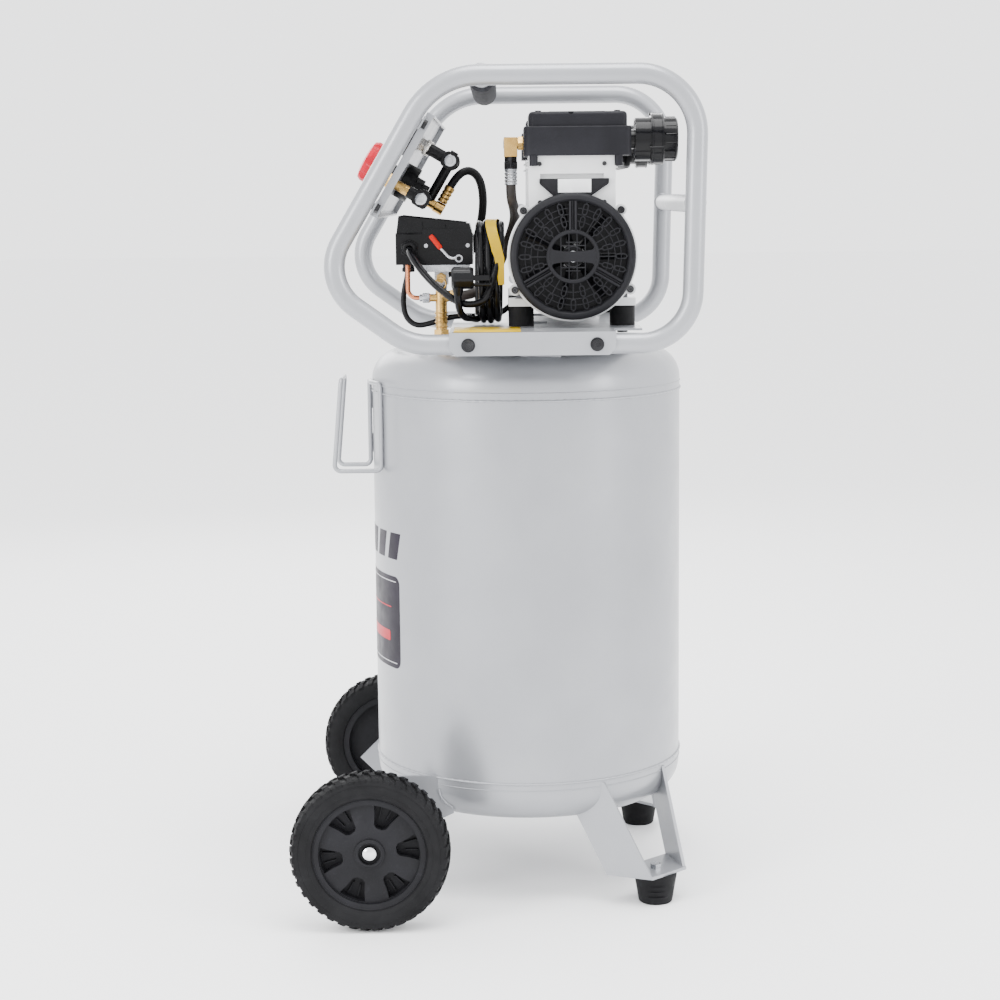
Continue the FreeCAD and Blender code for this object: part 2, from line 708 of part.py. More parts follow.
def pump_ring(y0, y1, radius, bore=0.0):
    """Return a disc or ring about the pump's shaft."""
    return rod_y(PUMP_X, PUMP_Z, y0, y1, radius, bore)


def crankcase():
    """Return the far crankcase, with its feet, cylinder block and openings."""
    x, z = PUMP_X, PUMP_Z
    case = fused([
        pump_ring(CASE_IN, CASE_OUT, 80),
        box(x - 54, x + 54, CASE_IN, CASE_OUT, z, BLOCK_TOP),
        box(x - 80, x + 80, 134, 166, 775.5, 785),
        box(x - 50, x + 50, 134, 166, 776, 800),
    ])
    for angle in (43, 137, 210, 330):
        turn = math.radians(angle)
        ear_x, ear_z = x + 83 * math.cos(turn), z + 83 * math.sin(turn)
        case = case.fuse(rod_y(ear_x, ear_z, CASE_OUT - 14, CASE_OUT, 7))
    tools = [
        pump_ring(CASE_IN + 5, CASE_OUT - 5, 73),
        pump_ring(CASE_OUT - 6, CASE_OUT + 1, 9.5),
        rod_z(x, BORE_Y, z, BLOCK_TOP + 1, 33),
        box(x - 39.5, x + 39.5, CASE_OUT - 6, CASE_OUT + 1, 928, 940),
    ]
    case = cut_by(case, tools)
    case = case.fuse(pump_ring(CASE_IN, CASE_IN + 8, 22)).cut(pump_ring(CASE_IN - 1, CASE_IN + 9, 16.05))
    for side in (-1, 1):
        bolt_x = x + side * ISOLATOR_X
        case = cut_by(case, [
            rod_z(bolt_x, ISOLATOR_Y, 770, 775.5, 16.4), rod_z(bolt_x, ISOLATOR_Y, 770, 790, 4.2),
            rod_z(bolt_x, ISOLATOR_Y, 785, 790.4, 8.6),
        ])
    return case


def fan_cover():
    """Return the far fan cover: a ring, a slotted face, a back plate and an air duct."""
    x, z = PUMP_X, PUMP_Z
    cover = fused([
        pump_ring(190, 215, 78, 68), pump_ring(211, 214, 69, 30.5), pump_ring(210, 215, 33),
        pump_ring(189, 191, 70, 16),
    ])
    tools = [pump_ring(200, 220, 27).common(box(x - 20, x + 20, 200, 220, z + 7, z + 24)),
             pump_ring(200, 220, 27).common(box(x - 20, x + 20, 200, 220, z - 24, z - 7))]
    for index in range(24):
        if index % 8 == 6:
            continue
        slot = box(x + 38, x + 63, 205, 220, z - 2.6, z + 2.6)
        slot.rotate(V(x, 0, z), V(0, 1, 0), -15 * index)
        tools.append(slot)
    cover = cut_by(cover, tools)
    corners = [(x - 39.5, 934), (x - 39.5, 928), (x - 22, 913), (x - 22, 900), (x + 22, 900),
               (x + 22, 913), (x + 44.5, 928), (x + 44.5, 934)]
    duct = prism([V(u, CASE_OUT + 0.2, w) for u, w in corners], V(0, 4.8, 0))
    duct = duct.cut(pump_ring(180, 200, 68))
    return fused([cover, duct])


def fan():
    """Return the far cooling fan: a hub with seven pitched blades."""
    hub = pump_ring(194, 208, 14, 7.05)
    blades = []
    for index in range(7):
        blade = box(PUMP_X + 12, PUMP_X + 63, 194.5, 207.5, PUMP_Z - 1, PUMP_Z + 1)
        blade.rotate(V(PUMP_X, 201, PUMP_Z), V(1, 0, 0), 32)
        blade.rotate(V(PUMP_X, 0, PUMP_Z), V(0, 1, 0), 360 / 7 * index)
        blades.append(blade)
    return fused([hub] + blades).cut(pump_ring(190, 212, 7.05))


def make_pump():
    """Crankcases, fan covers, fans, motor, and the parts that the motor drives."""
    cases = [crankcase()]
    covers = [fan_cover()]
    fans = [fan()]
    for shapes in (cases, covers, fans):
        shapes.append(mirrored_y(shapes[0]))
    NODES["crankcases"] = group(cases)
    NODES["fan_covers"] = group(covers)
    NODES["cooling_fans"] = group(fans)

    NODES["rotor"] = fused([pump_ring(-209, 209, 7), pump_ring(-50, 50, 39.4)])
    shell = pump_ring(-104.8, 104.8, 70, 65)
    gland = rod(gland_point(68), gland_point(80), 8).cut(pump_ring(-104, 104, 65))
    gland = gland.cut(rod(gland_point(74), gland_point(82), MOTOR_CABLE_R + 0.1))
    NODES["motor_shell"] = fused([shell, gland])
    NODES["stator"] = pump_ring(-50, 50, 64.8, 40)

    gear = []
    for side in (-1, 1):
        gear.append(pump_ring(side * 105, side * 112, 16, 7.05))
        eccentric = rod_y(PUMP_X, PUMP_Z + 9, side * 139, side * 155, 17.9)
        gear.append(eccentric.cut(pump_ring(-160, 160, 7.1)))
        ring = rod_y(PUMP_X, PUMP_Z + 9, side * 141, side * 153, 24, 17.95)
        y0, y1 = sorted((side * 142, side * 152))
        web = box(PUMP_X - 6, PUMP_X + 6, y0, y1, PUMP_Z + 31, 916)
        gear.append(fused([ring, web, rod_z(PUMP_X, side * BORE_Y, 915, 925, 30.8)]))
        gear.append(rod_z(PUMP_X, side * BORE_Y, 895, BLOCK_TOP - 0.05, 32.9, 31))
    NODES["running_gear"] = group(gear)


def gland_point(radius):
    """Return a point on the line from the motor's middle out through its cable gland."""
    return V(PUMP_X - 0.75 * radius, -50, PUMP_Z - 0.661 * radius)


def rounded_block(x0, x1, y0, y1, z0, z1, side_radius, top_radius):
    """Return a block with rounded upright corners and a rounded top edge."""
    block = box(x0, x1, y0, y1, z0, z1)
    upright = [edge for edge in block.Edges if abs(edge.tangentAt(edge.FirstParameter).z) > 0.9]
    block = block.makeFillet(side_radius, upright)
    top = [edge for edge in block.Edges if edge.BoundBox.ZMin > z1 - 0.01]
    return block.makeFillet(top_radius, top)


def make_heads():
    """Cylinder heads, their lids, the air filters, and the pipe joining the heads."""
    x, z = PUMP_X, BLOCK_TOP
    heads = []
    lids = []
    filters = []
    head = rounded_block(x - 59.5, x + 73.5, 95, 195, z + 0.05, z + 36, 9, 2)
    hollow = box(x - 55, x + 69, 99.5, 190.5, z + 8, z + 40)
    port = rod(V(x - 70, 120, 979), V(x - 40, 120, 979), 5)
    head = cut_by(head, [hollow, port])
    lid = rounded_block(x - 53.5, x + 68.5, 100, 190, z + 36.05, z + 54, 8, 5)
    lid = lid.cut(rod(V(x - 1, 184, z + 54), V(x - 1, 200, z + 54), 3.5))
    lid = lid.cut(box(x - 50, x + 65, 103.5, 186.5, z + 30, z + 50))
    profile = [
        (0, 0), (12, 0), (12, 6), (27, 6), (27, 25.5), (31.5, 25.5), (31.5, 40), (27, 40), (27, 57),
        (25, 59), (0, 59),
    ]
    air_filter = lathe(profile, V(x + 73.55, 150, 982), V(1, 0, 0))
    air_filter = air_filter.cut(lathe([(0, -1), (8, -1), (8, 8), (24, 9), (24, 55), (0, 55)],
                                      V(x + 73.55, 150, 982), V(1, 0, 0)))
    for pieces, shape in ((heads, head), (lids, lid), (filters, air_filter)):
        pieces.append(shape)
        pieces.append(mirrored_y(shape))
    NODES["cylinder_heads"] = group(heads)
    NODES["head_lids"] = group(lids)
    NODES["air_filters"] = group(filters)

    isolators = []
    profile = [(0, 10.8), (4.05, 10.8), (4.05, 0.05), (16, 0.05), (16, 25), (4.05, 25), (4.05, 14.6),
               (0, 14.6)]
    for x, y in isolator_places():
        isolators.append(lathe(profile, V(x, y, DECK_TOP)))
    NODES["isolators"] = group(isolators)


# Hoses, cables and the mains lead

ELBOW_Z = 979.0
HOSE_X, HOSE_Y = -18.0, -120.0       # upright end of the discharge hose


def make_hoses():
    """The flexible hoses and the motor cable, with their fittings."""
    discharge = [
        V(-85, -72, 785), V(-73, -70, 786), V(-57, -61, 794), V(-42, -56, 811), V(-30, -55, 833),
        V(-21, -61, 858),
        V(-13, -79, 882), V(-14, -103, 898), V(-18, -119, 911), V(-18, -120, 927),
    ]
    NODES["discharge_hose"] = flexible("discharge_hose", discharge, HOSE_R)[0]

    regulator = [
        V(-98, 0, 926), V(-89, 1, 941), V(-73, 3, 949), V(-59, 6, 938), V(-54, 10, 912),
        V(-57, 14, 881), V(-66, 17, 850), V(-82, 15, 824), V(-102, 6, 811), V(-110, -7, 809),
        V(-110, -19, 809),
    ]
    NODES["regulator_hose"] = flexible("regulator_hose", regulator, REGULATOR_HOSE_R)[0]

    cable = [
        V(-153, -50, 826), V(-154, -50, 812), V(-159, -49, 794), V(-161, -48, 774), V(-157, -50, 755),
        V(-143, -52, 745), V(-124, -53, 749), V(-96, -55, 758), V(-65, -54, 758), V(-38, -52, 757),
        gland_point(98), gland_point(74.2),
    ]
    NODES["motor_cable"] = flexible("motor_cable", cable, MOTOR_CABLE_R)[0]

    top, x, y = ELBOW_Z, HOSE_X, HOSE_Y
    down_slope = on_panel(rod(V(COUPLER_U, 0, -61.05), V(COUPLER_U, 0, -76), 6.5))
    ferrule = on_panel(rod(V(COUPLER_U, 0, -76), V(-12.0, 0, -76), 7))
    fittings = [
        fused([
            rod(V(-26, y, top), V(-2, y, top), 7), hexagon(V(-12, y, top), V(1, 0, 0), 17, 9.9),
            rod_z(x, y, 962, top + 6, 8),
        ]),
        hexagon(V(x, y, 947.05), V(0, 0, 1), 17, 14.9),
        rod_z(x, y, 927.05, 947, 8.2),
        fused([down_slope, ferrule]).common(box(-200, 0, -50, 50, 800, 925.9)).cut(NODES["manifold"]),
        rod(V(-110, -18.9, 809), V(-110, -30.95, 809), 6.5),
        bent_tube([V(130, -112, 961.95), V(130, -112, 951), V(130, 112, 951), V(130, 112, 961.95)],
                  4.5, [6, 6])[0],
    ]
    for u, side_y, n in ((GAUGE_U, -50, -60), (COUPLER_U, -92, -53)):
        plug = rod(V(u, side_y - 0.05, n), V(u, side_y - 4, n), 8)
        socket = hexagon(V(u, side_y - 2, n), V(0, -1, 0), 6, 4)
        fittings.append(on_panel(plug.cut(socket)))
    NODES["hose_fittings"] = group(fittings)


COIL_X0, COIL_X1 = -66.0, -27.0
COIL_Y, COIL_HALF = -117.0, 40.0
COIL_LOW, COIL_HIGH = DECK_TOP + 0.1, 885.0
PLUG = V(-80, -171, 812)


def racetrack(half, low, high, x0, x1):
    """Return an upright bar with half-round ends, along X."""
    y = COIL_Y
    return fused([
        rod(V(x0, y, low + half), V(x1, y, low + half), half),
        rod(V(x0, y, high - half), V(x1, y, high - half), half),
        box(x0, x1, y - half, y + half, low + half, high - half),
    ])


def make_power_cord():
    """The mains lead: out of the switch, into an upright hank on the deck, and to its plug."""
    lead = [
        V(-150, -80, 847), V(-150, -98, 846), V(-147, -114, 840), V(-138, -129, 827),
        V(-124, -142, 810.5), V(-108, -151, 796), V(-91.6, -157, 784.5), V(-83.3, -159.5, 780.2),
        V(-71, -161.7, 778), V(-58.7, -162.2, 780.2), V(-47.9, -162, 786.4), V(-39.8, -159.5, 796),
    ]
    tail = [
        V(-66, -132.6, 759.8), V(-71.2, -143.9, 760.2), V(-77.3, -154.5, 761), V(-82.9, -165, 767.5),
        V(-86, -171, 779), V(-86, -171, 790),
    ]
    lead_tube = flexible("power_cord_lead", lead, CORD_R)[0]
    tail_tube = flexible("power_cord_tail", tail, CORD_R)[0]
    NODES["power_cord_lead"] = group([lead_tube, tail_tube])

    width = 2 * CORD_R + 0.5
    outer = racetrack(COIL_HALF, COIL_LOW, COIL_HIGH, COIL_X0, COIL_X1)
    inner = racetrack(COIL_HALF - width, COIL_LOW + width, COIL_HIGH - width, COIL_X0 - 1, COIL_X1 + 1)
    NODES["power_cord_coil"] = outer.cut(inner)

    body = lathe([(0, 0), (11, 0), (14, 3), (14, 24), (12.5, 28), (0, 28)], V(-94, PLUG.y, PLUG.z),
                 V(1, 0, 0))
    relief = lathe([(0, 0), (5.2, 0), (8, 12), (0, 12)], V(-86, PLUG.y, 790.05))
    prongs = [
        box(-67, -46, PLUG.y - 6.8, PLUG.y - 5.2, PLUG.z - 3, PLUG.z + 3.5),
        box(-67, -46, PLUG.y + 5.2, PLUG.y + 6.8, PLUG.z - 3, PLUG.z + 3.5),
        rod(V(-67, PLUG.y, PLUG.z - 8.5), V(-44, PLUG.y, PLUG.z - 8.5), 2.4),
    ]
    NODES["power_plug"] = fused([body, relief] + prongs)


# Writing the sub-parts

def write_parts():
    """Move everything so that the box without the cords is centred on the origin, and export."""
    lows = []
    highs = []
    for name, shape in NODES.items():
        if name not in CORD_NODES:
            bounds = shape.optimalBoundingBox(False, False)
            lows.append((bounds.XMin, bounds.YMin, bounds.ZMin))
            highs.append((bounds.XMax, bounds.YMax, bounds.ZMax))
    low = [min(values) for values in zip(*lows)]
    high = [max(values) for values in zip(*highs)]
    shift = -(low[0] + high[0]) / 2
    print("box %s to %s, tank axis at x = %.3f" % (low, high, shift))
    os.makedirs("parts", exist_ok=True)
    for name, shape in NODES.items():
        if not shape.isValid():
            print("not valid:", name)
        moved = shape.copy()
        moved.translate(V(shift, 0, 0))
        moved.exportStep("parts/%s.step" % name)
    print("%d nodes written" % len(NODES))


make_tank()
make_axle()
make_wheels()
make_legs()
make_hose_hook()
make_cages()
make_deck()
make_control_panel()
make_regulator()
make_manifold()
make_gauges()
make_couplers()
make_switch()
make_pipework()
make_pump()
make_heads()
make_hoses()
make_power_cord()
write_parts()
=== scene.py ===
"""Looks of the vertical tank compressor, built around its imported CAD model.

Metres, in the CAD model's frame: +Z up, -X towards the control panel and the wheels.
Places come from the frame's boxes; the cords' routes repeat the CAD source's points.
"""
import math
import random

import bmesh
import bpy
from mathutils import Matrix, Vector


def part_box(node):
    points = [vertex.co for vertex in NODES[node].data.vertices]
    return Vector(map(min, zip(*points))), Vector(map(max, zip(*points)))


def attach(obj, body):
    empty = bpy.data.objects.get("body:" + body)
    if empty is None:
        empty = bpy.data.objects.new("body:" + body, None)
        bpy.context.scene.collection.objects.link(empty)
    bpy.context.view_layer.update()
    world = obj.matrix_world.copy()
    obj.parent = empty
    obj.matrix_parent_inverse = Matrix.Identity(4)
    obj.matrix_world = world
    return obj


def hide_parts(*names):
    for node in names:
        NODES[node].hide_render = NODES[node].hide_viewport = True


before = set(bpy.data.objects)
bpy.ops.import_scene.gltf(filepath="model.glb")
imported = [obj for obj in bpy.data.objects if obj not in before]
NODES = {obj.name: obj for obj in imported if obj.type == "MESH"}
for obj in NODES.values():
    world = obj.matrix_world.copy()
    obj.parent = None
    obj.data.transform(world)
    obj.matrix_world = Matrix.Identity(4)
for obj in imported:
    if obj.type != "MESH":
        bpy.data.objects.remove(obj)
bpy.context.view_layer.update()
MM = 0.001

TANK_LOW, TANK_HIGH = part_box("tank_shell")
TANK_X = (TANK_LOW[0] + TANK_HIGH[0]) / 2
TANK_R = (TANK_HIGH[0] - TANK_LOW[0]) / 2
DECK_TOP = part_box("deck")[1][2]
SHAFT_LOW, SHAFT_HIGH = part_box("rotor")
PUMP_X = (SHAFT_LOW[0] + SHAFT_HIGH[0]) / 2
PUMP_Z = (SHAFT_LOW[2] + SHAFT_HIGH[2]) / 2
MOTOR_R = 0.070
FILTER_Y, FILTER_Z = 0.150, 0.982   # the axis of the air filters, y on either side
CASE_FACE = 0.1881                  # y of the crankcases' outer faces, where their screws sit
UP = (0, 0, 1)
SIDES = (("near", -1), ("far", 1))
random.seed(7)


def at(x, y, z):
    """Return the point x, y, z millimetres from the foot of the tank's axis."""
    return Vector((TANK_X + x * MM, y * MM, z * MM))


def placed(name, data):
    """Make an object of data and put it in the scene."""
    thing = bpy.data.objects.new(name, data)
    bpy.context.scene.collection.objects.link(thing)
    return thing


def scaled(pairs):
    """Return pairs of millimetres in metres."""
    return [(a * MM, b * MM) for a, b in pairs]


# Camera, floor and light

def make_camera():
    """Place the camera in front of the near side, a little above the pump."""
    pitch_down, roll, yaw = 0.1443, -0.0101, -0.0029
    camera = placed("camera", bpy.data.cameras.new("camera"))
    camera.data.sensor_width = 36.0
    camera.data.lens = 75.46
    turn = Matrix.Rotation(-yaw, 4, "Z") @ Matrix.Rotation(math.pi / 2 - pitch_down, 4, "X")
    turn = turn @ Matrix.Rotation(roll, 4, "Z")
    camera.matrix_world = Matrix.Translation(at(-28.1, -2812.6, 914.1)) @ turn
    bpy.context.scene.camera = camera


def area_light(name, place, target, size, power):
    """Add a rectangular soft light at place, facing target."""
    light = bpy.data.lights.new(name, "AREA")
    light.shape = "RECTANGLE"
    light.size, light.size_y = size
    light.energy = power
    lamp = placed(name, light)
    lamp.location = place
    lamp.rotation_euler = (Vector(target) - Vector(place)).to_track_quat("-Z", "Y").to_euler()


def make_studio():
    """A pale floor under an even white surround, with soft boxes left, right, above and behind."""
    world = bpy.data.worlds.new("studio")
    world.use_nodes = True
    backdrop = world.node_tree.nodes["Background"]
    backdrop.inputs["Color"].default_value = (0.97, 0.975, 0.985, 1)
    backdrop.inputs["Strength"].default_value = 2.7
    bpy.context.scene.world = world
    bpy.ops.mesh.primitive_plane_add(size=60, location=(0, 0, 0))
    floor = bpy.context.object
    floor.name = "floor"
    paper = bpy.data.materials.new("floor_paper")
    paper.use_nodes = True
    shader = paper.node_tree.nodes["Principled BSDF"]
    shader.inputs["Base Color"].default_value = (0.96, 0.96, 0.96, 1)
    shader.inputs["Roughness"].default_value = 0.9
    floor.data.materials.append(paper)
    middle = (TANK_X, 0, 0.6)
    area_light("left_box", (-2.2, -2.0, 1.7), middle, (1.0, 2.2), 75)
    area_light("right_box", (2.4, -1.6, 1.5), middle, (0.8, 2.0), 34)
    area_light("top_box", (0.2, -0.6, 3.0), middle, (1.6, 1.6), 80)
    area_light("back_box", (-0.6, 2.6, 1.8), middle, (2.2, 1.6), 40)


# Materials

class Surface:
    """A node material that is put together from small procedural layers."""

    def __init__(self, name, metallic=0.0, coat=0.0, coat_rough=0.1, specular=0.5):
        self.material = bpy.data.materials.new(name)
        self.material.use_nodes = True
        self.tree = self.material.node_tree
        self.shader = self.tree.nodes["Principled BSDF"]
        self.shader.inputs["Metallic"].default_value = metallic
        self.shader.inputs["Coat Weight"].default_value = coat
        self.shader.inputs["Coat Roughness"].default_value = coat_rough
        self.shader.inputs["Specular IOR Level"].default_value = specular
        self.place = self.tree.nodes.new("ShaderNodeTexCoord").outputs["Object"]
        self.height = None

    def link(self, source, target):
        """Join two sockets."""
        self.tree.links.new(source, target)

    def noise(self, scale, detail=3.0, distortion=0.0):
        """Return a noise pattern's factor."""
        node = self.tree.nodes.new("ShaderNodeTexNoise")
        node.inputs["Scale"].default_value = scale
        node.inputs["Detail"].default_value = detail
        node.inputs["Distortion"].default_value = distortion
        self.link(self.place, node.inputs["Vector"])
        return node.outputs["Fac"]

    def cells(self, scale):
        """Return the distance pattern of random cells."""
        node = self.tree.nodes.new("ShaderNodeTexVoronoi")
        node.inputs["Scale"].default_value = scale
        self.link(self.place, node.inputs["Vector"])
        return node.outputs["Distance"]

    def ramp(self, factor, low, high, start=0.3, end=0.7):
        """Return a colour or grey that runs from low to high as factor goes from start to end."""
        node = self.tree.nodes.new("ShaderNodeValToRGB")
        for element, place, value in zip(node.color_ramp.elements, (start, end), (low, high)):
            element.position = place
            colour = value if isinstance(value, tuple) else (value, value, value)
            element.color = (*colour, 1)
        self.link(factor, node.inputs["Fac"])
        return node.outputs["Color"]

    def colour(self, factor, low, high, start=0.3, end=0.7):
        """Vary the base colour between low and high."""
        self.link(self.ramp(factor, low, high, start, end), self.shader.inputs["Base Color"])
        return self

    def worn(self, scale, tint, amount, start=0.62, end=0.75):
        """Lay patches of tint over the base colour, as dust, scuffs or stains."""
        mix = self.tree.nodes.new("ShaderNodeMix")
        mix.data_type = "RGBA"
        base = self.shader.inputs["Base Color"].links[0].from_socket
        self.link(base, mix.inputs["A"])
        mix.inputs["B"].default_value = (*tint, 1)
        patches = self.ramp(self.noise(scale, 6.0, distortion=0.6), 0.0, amount, start, end)
        self.link(patches, mix.inputs["Factor"])
        self.link(mix.outputs["Result"], self.shader.inputs["Base Color"])
        return self

    def rough(self, factor, low, high):
        """Vary the roughness between low and high."""
        self.link(self.ramp(factor, low, high), self.shader.inputs["Roughness"])
        return self

    def bump(self, factor, strength, distance=0.0005):
        """Add a layer of relief."""
        node = self.tree.nodes.new("ShaderNodeBump")
        node.inputs["Strength"].default_value = strength
        node.inputs["Distance"].default_value = distance
        self.link(factor, node.inputs["Height"])
        if self.height:
            self.link(self.height, node.inputs["Normal"])
        self.height = node.outputs["Normal"]
        self.link(self.height, self.shader.inputs["Normal"])
        return self


def metallic_paint(name, low, high):
    """Satin silver paint with fine flake and a trace of orange peel."""
    paint = Surface(name, metallic=0.45, coat=0.35, coat_rough=0.22)
    paint.colour(paint.noise(9, 4), low, high)
    paint.worn(2600, tuple(1.16 * part for part in high), 0.5, 0.5, 0.75)
    paint.rough(paint.noise(30, 4), 0.30, 0.40)
    paint.bump(paint.noise(160, 2), 0.10, 0.0006)
    paint.bump(paint.noise(1500, 2), 0.05, 0.0002)
    return paint.material


def cast_paint(name, low, high):
    """Thick paint over a sand-cast skin."""
    paint = Surface(name, coat=0.15, coat_rough=0.3)
    paint.colour(paint.noise(25, 5), low, high)
    paint.worn(60, tuple(0.8 * part for part in low), 0.35)
    paint.rough(paint.noise(80, 3), 0.38, 0.52)
    paint.bump(paint.noise(420, 4), 0.25, 0.0007)
    paint.bump(paint.cells(700), 0.08, 0.0003)
    return paint.material


def moulded(name, low, high, rough=(0.42, 0.58), grain=900, relief=0.2, coat=0.0, specular=0.12):
    """Moulded plastic or rubber with a fine spark grain and a little dust."""
    plastic = Surface(name, coat=coat, coat_rough=0.12, specular=specular)
    plastic.colour(plastic.noise(18, 5), low, high)
    plastic.worn(45, tuple(part * 1.5 + 0.002 for part in high), 0.35)
    plastic.rough(plastic.noise(60, 4), *rough)
    plastic.bump(plastic.cells(grain), relief, 0.0003)
    plastic.bump(plastic.noise(grain / 4, 3), relief / 2, 0.0004)
    return plastic.material


def metal(name, low, high, rough=(0.22, 0.38), amount=0.25):
    """Bare or plated metal with a fine grain and light stains."""
    bare = Surface(name, metallic=1.0)
    bare.colour(bare.noise(60, 5), low, high)
    bare.worn(90, (0.2, 0.17, 0.12), amount)
    bare.rough(bare.noise(220, 4), *rough)
    bare.bump(bare.noise(900, 2), 0.12, 0.0002)
    return bare.material


SILVER = metallic_paint("silver_paint", (0.255, 0.262, 0.280), (0.295, 0.302, 0.320))
WIRE_PAINT = metallic_paint("wire_paint", (0.25, 0.256, 0.272), (0.31, 0.317, 0.335))
WHITE_CAST = cast_paint("white_casting", (0.60, 0.605, 0.61), (0.68, 0.685, 0.69))
CHARCOAL = moulded("charcoal_plastic", (0.0075, 0.0075, 0.0095), (0.013, 0.013, 0.016), (0.40, 0.55), 700,
                   0.3)
COVER_BLACK = moulded("cover_plastic", (0.0075, 0.0075, 0.009), (0.013, 0.013, 0.015), (0.42, 0.56), 900, 0.2)
FAN_BLACK = moulded("fan_plastic", (0.002, 0.002, 0.0025), (0.005, 0.005, 0.006), (0.25, 0.4), 500, 0.15)
GLOSS_BLACK = moulded("gloss_plastic", (0.0015, 0.0015, 0.002), (0.004, 0.004, 0.005), (0.12, 0.2), 300,
                      0.05, 0.12)
SWITCH_BLACK = moulded("switch_plastic", (0.002, 0.002, 0.0025), (0.006, 0.006, 0.007), (0.18, 0.3), 500,
                       0.12, 0.06)
TYRE_BLACK = moulded("tyre_rubber", (0.0045, 0.0045, 0.005), (0.010, 0.010, 0.011), (0.6, 0.78), 600, 0.35)
HUB_BLACK = moulded("hub_plastic", (0.006, 0.006, 0.007), (0.011, 0.011, 0.013), (0.45, 0.6), 800, 0.3)
FOOT_RUBBER = moulded("foot_rubber", (0.003, 0.003, 0.0035), (0.008, 0.008, 0.009), (0.5, 0.7), 500, 0.3)
CORD_BLACK = moulded("cord_jacket", (0.0015, 0.0015, 0.002), (0.004, 0.004, 0.005), (0.18, 0.3), 400, 0.06,
                     0.1)
HOSE_BLACK = moulded("hose_rubber", (0.003, 0.003, 0.0035), (0.007, 0.007, 0.008), (0.3, 0.45), 500, 0.2)
GRIP_FOAM = moulded("grip_foam", (0.016, 0.016, 0.019), (0.035, 0.035, 0.04), (0.75, 0.9), 380, 0.8)
RED_PLASTIC = moulded("red_plastic", (0.34, 0.0025, 0.014), (0.42, 0.004, 0.020), (0.24, 0.36), 500, 0.1, 0.1)
RED_GRIP = moulded("red_grip", (0.48, 0.012, 0.005), (0.58, 0.018, 0.008), (0.35, 0.5), 400, 0.25)
YELLOW_TAG = moulded("yellow_film", (0.42, 0.27, 0.004), (0.52, 0.34, 0.007), (0.25, 0.4), 200, 0.1)
BLACK_IRON = moulded("black_iron", (0.003, 0.003, 0.0035), (0.008, 0.008, 0.009), (0.28, 0.42), 350, 0.35,
                     0.05)
BRASS = metal("brass", (0.40, 0.235, 0.065), (0.56, 0.36, 0.12))
COPPER = metal("copper", (0.42, 0.13, 0.055), (0.58, 0.22, 0.11), (0.2, 0.34))
ZINC = metal("zinc_plate", (0.36, 0.37, 0.39), (0.50, 0.51, 0.53), (0.2, 0.36))
STEEL = metal("bright_steel", (0.66, 0.67, 0.69), (0.80, 0.81, 0.82), (0.14, 0.28))
BLACK_STEEL = metal("black_oxide", (0.02, 0.02, 0.022), (0.05, 0.05, 0.052), (0.25, 0.4), amount=0.1)
NICKEL = metal("nickel", (0.55, 0.53, 0.50), (0.72, 0.70, 0.66), (0.18, 0.32))
FILM_DARK = moulded("dark_film", (0.005, 0.003, 0.008), (0.010, 0.006, 0.015), (0.3, 0.42), 300, 0.04)
FILM_PALE = moulded("pale_film", (0.40, 0.40, 0.42), (0.48, 0.48, 0.50), (0.3, 0.42), 300, 0.04)
FILM_RED = moulded("red_film", (0.34, 0.004, 0.015), (0.42, 0.007, 0.022), (0.28, 0.4), 300, 0.04)
FILM_WHITE = moulded("white_film", (0.76, 0.77, 0.78), (0.84, 0.85, 0.86), (0.3, 0.42), 300, 0.04)
DIAL_WHITE = moulded("dial_white", (0.82, 0.82, 0.80), (0.88, 0.88, 0.86), (0.4, 0.5), 300, 0.03)
INK_BLACK = moulded("dial_ink", (0.012, 0.012, 0.013), (0.02, 0.02, 0.022), (0.4, 0.5), 300, 0.03)
GLASS = moulded("clear_lens", (0.94, 0.95, 0.95), (0.98, 0.98, 0.98), (0.02, 0.06), 200, 0.02)
GLASS.node_tree.nodes["Principled BSDF"].inputs["Transmission Weight"].default_value = 1.0
HOSE_BRAID = moulded("hose_braid", (0.012, 0.009, 0.0075), (0.045, 0.035, 0.030), (0.32, 0.5), 1300, 0.9,
                     specular=0.4)


# Mesh helpers

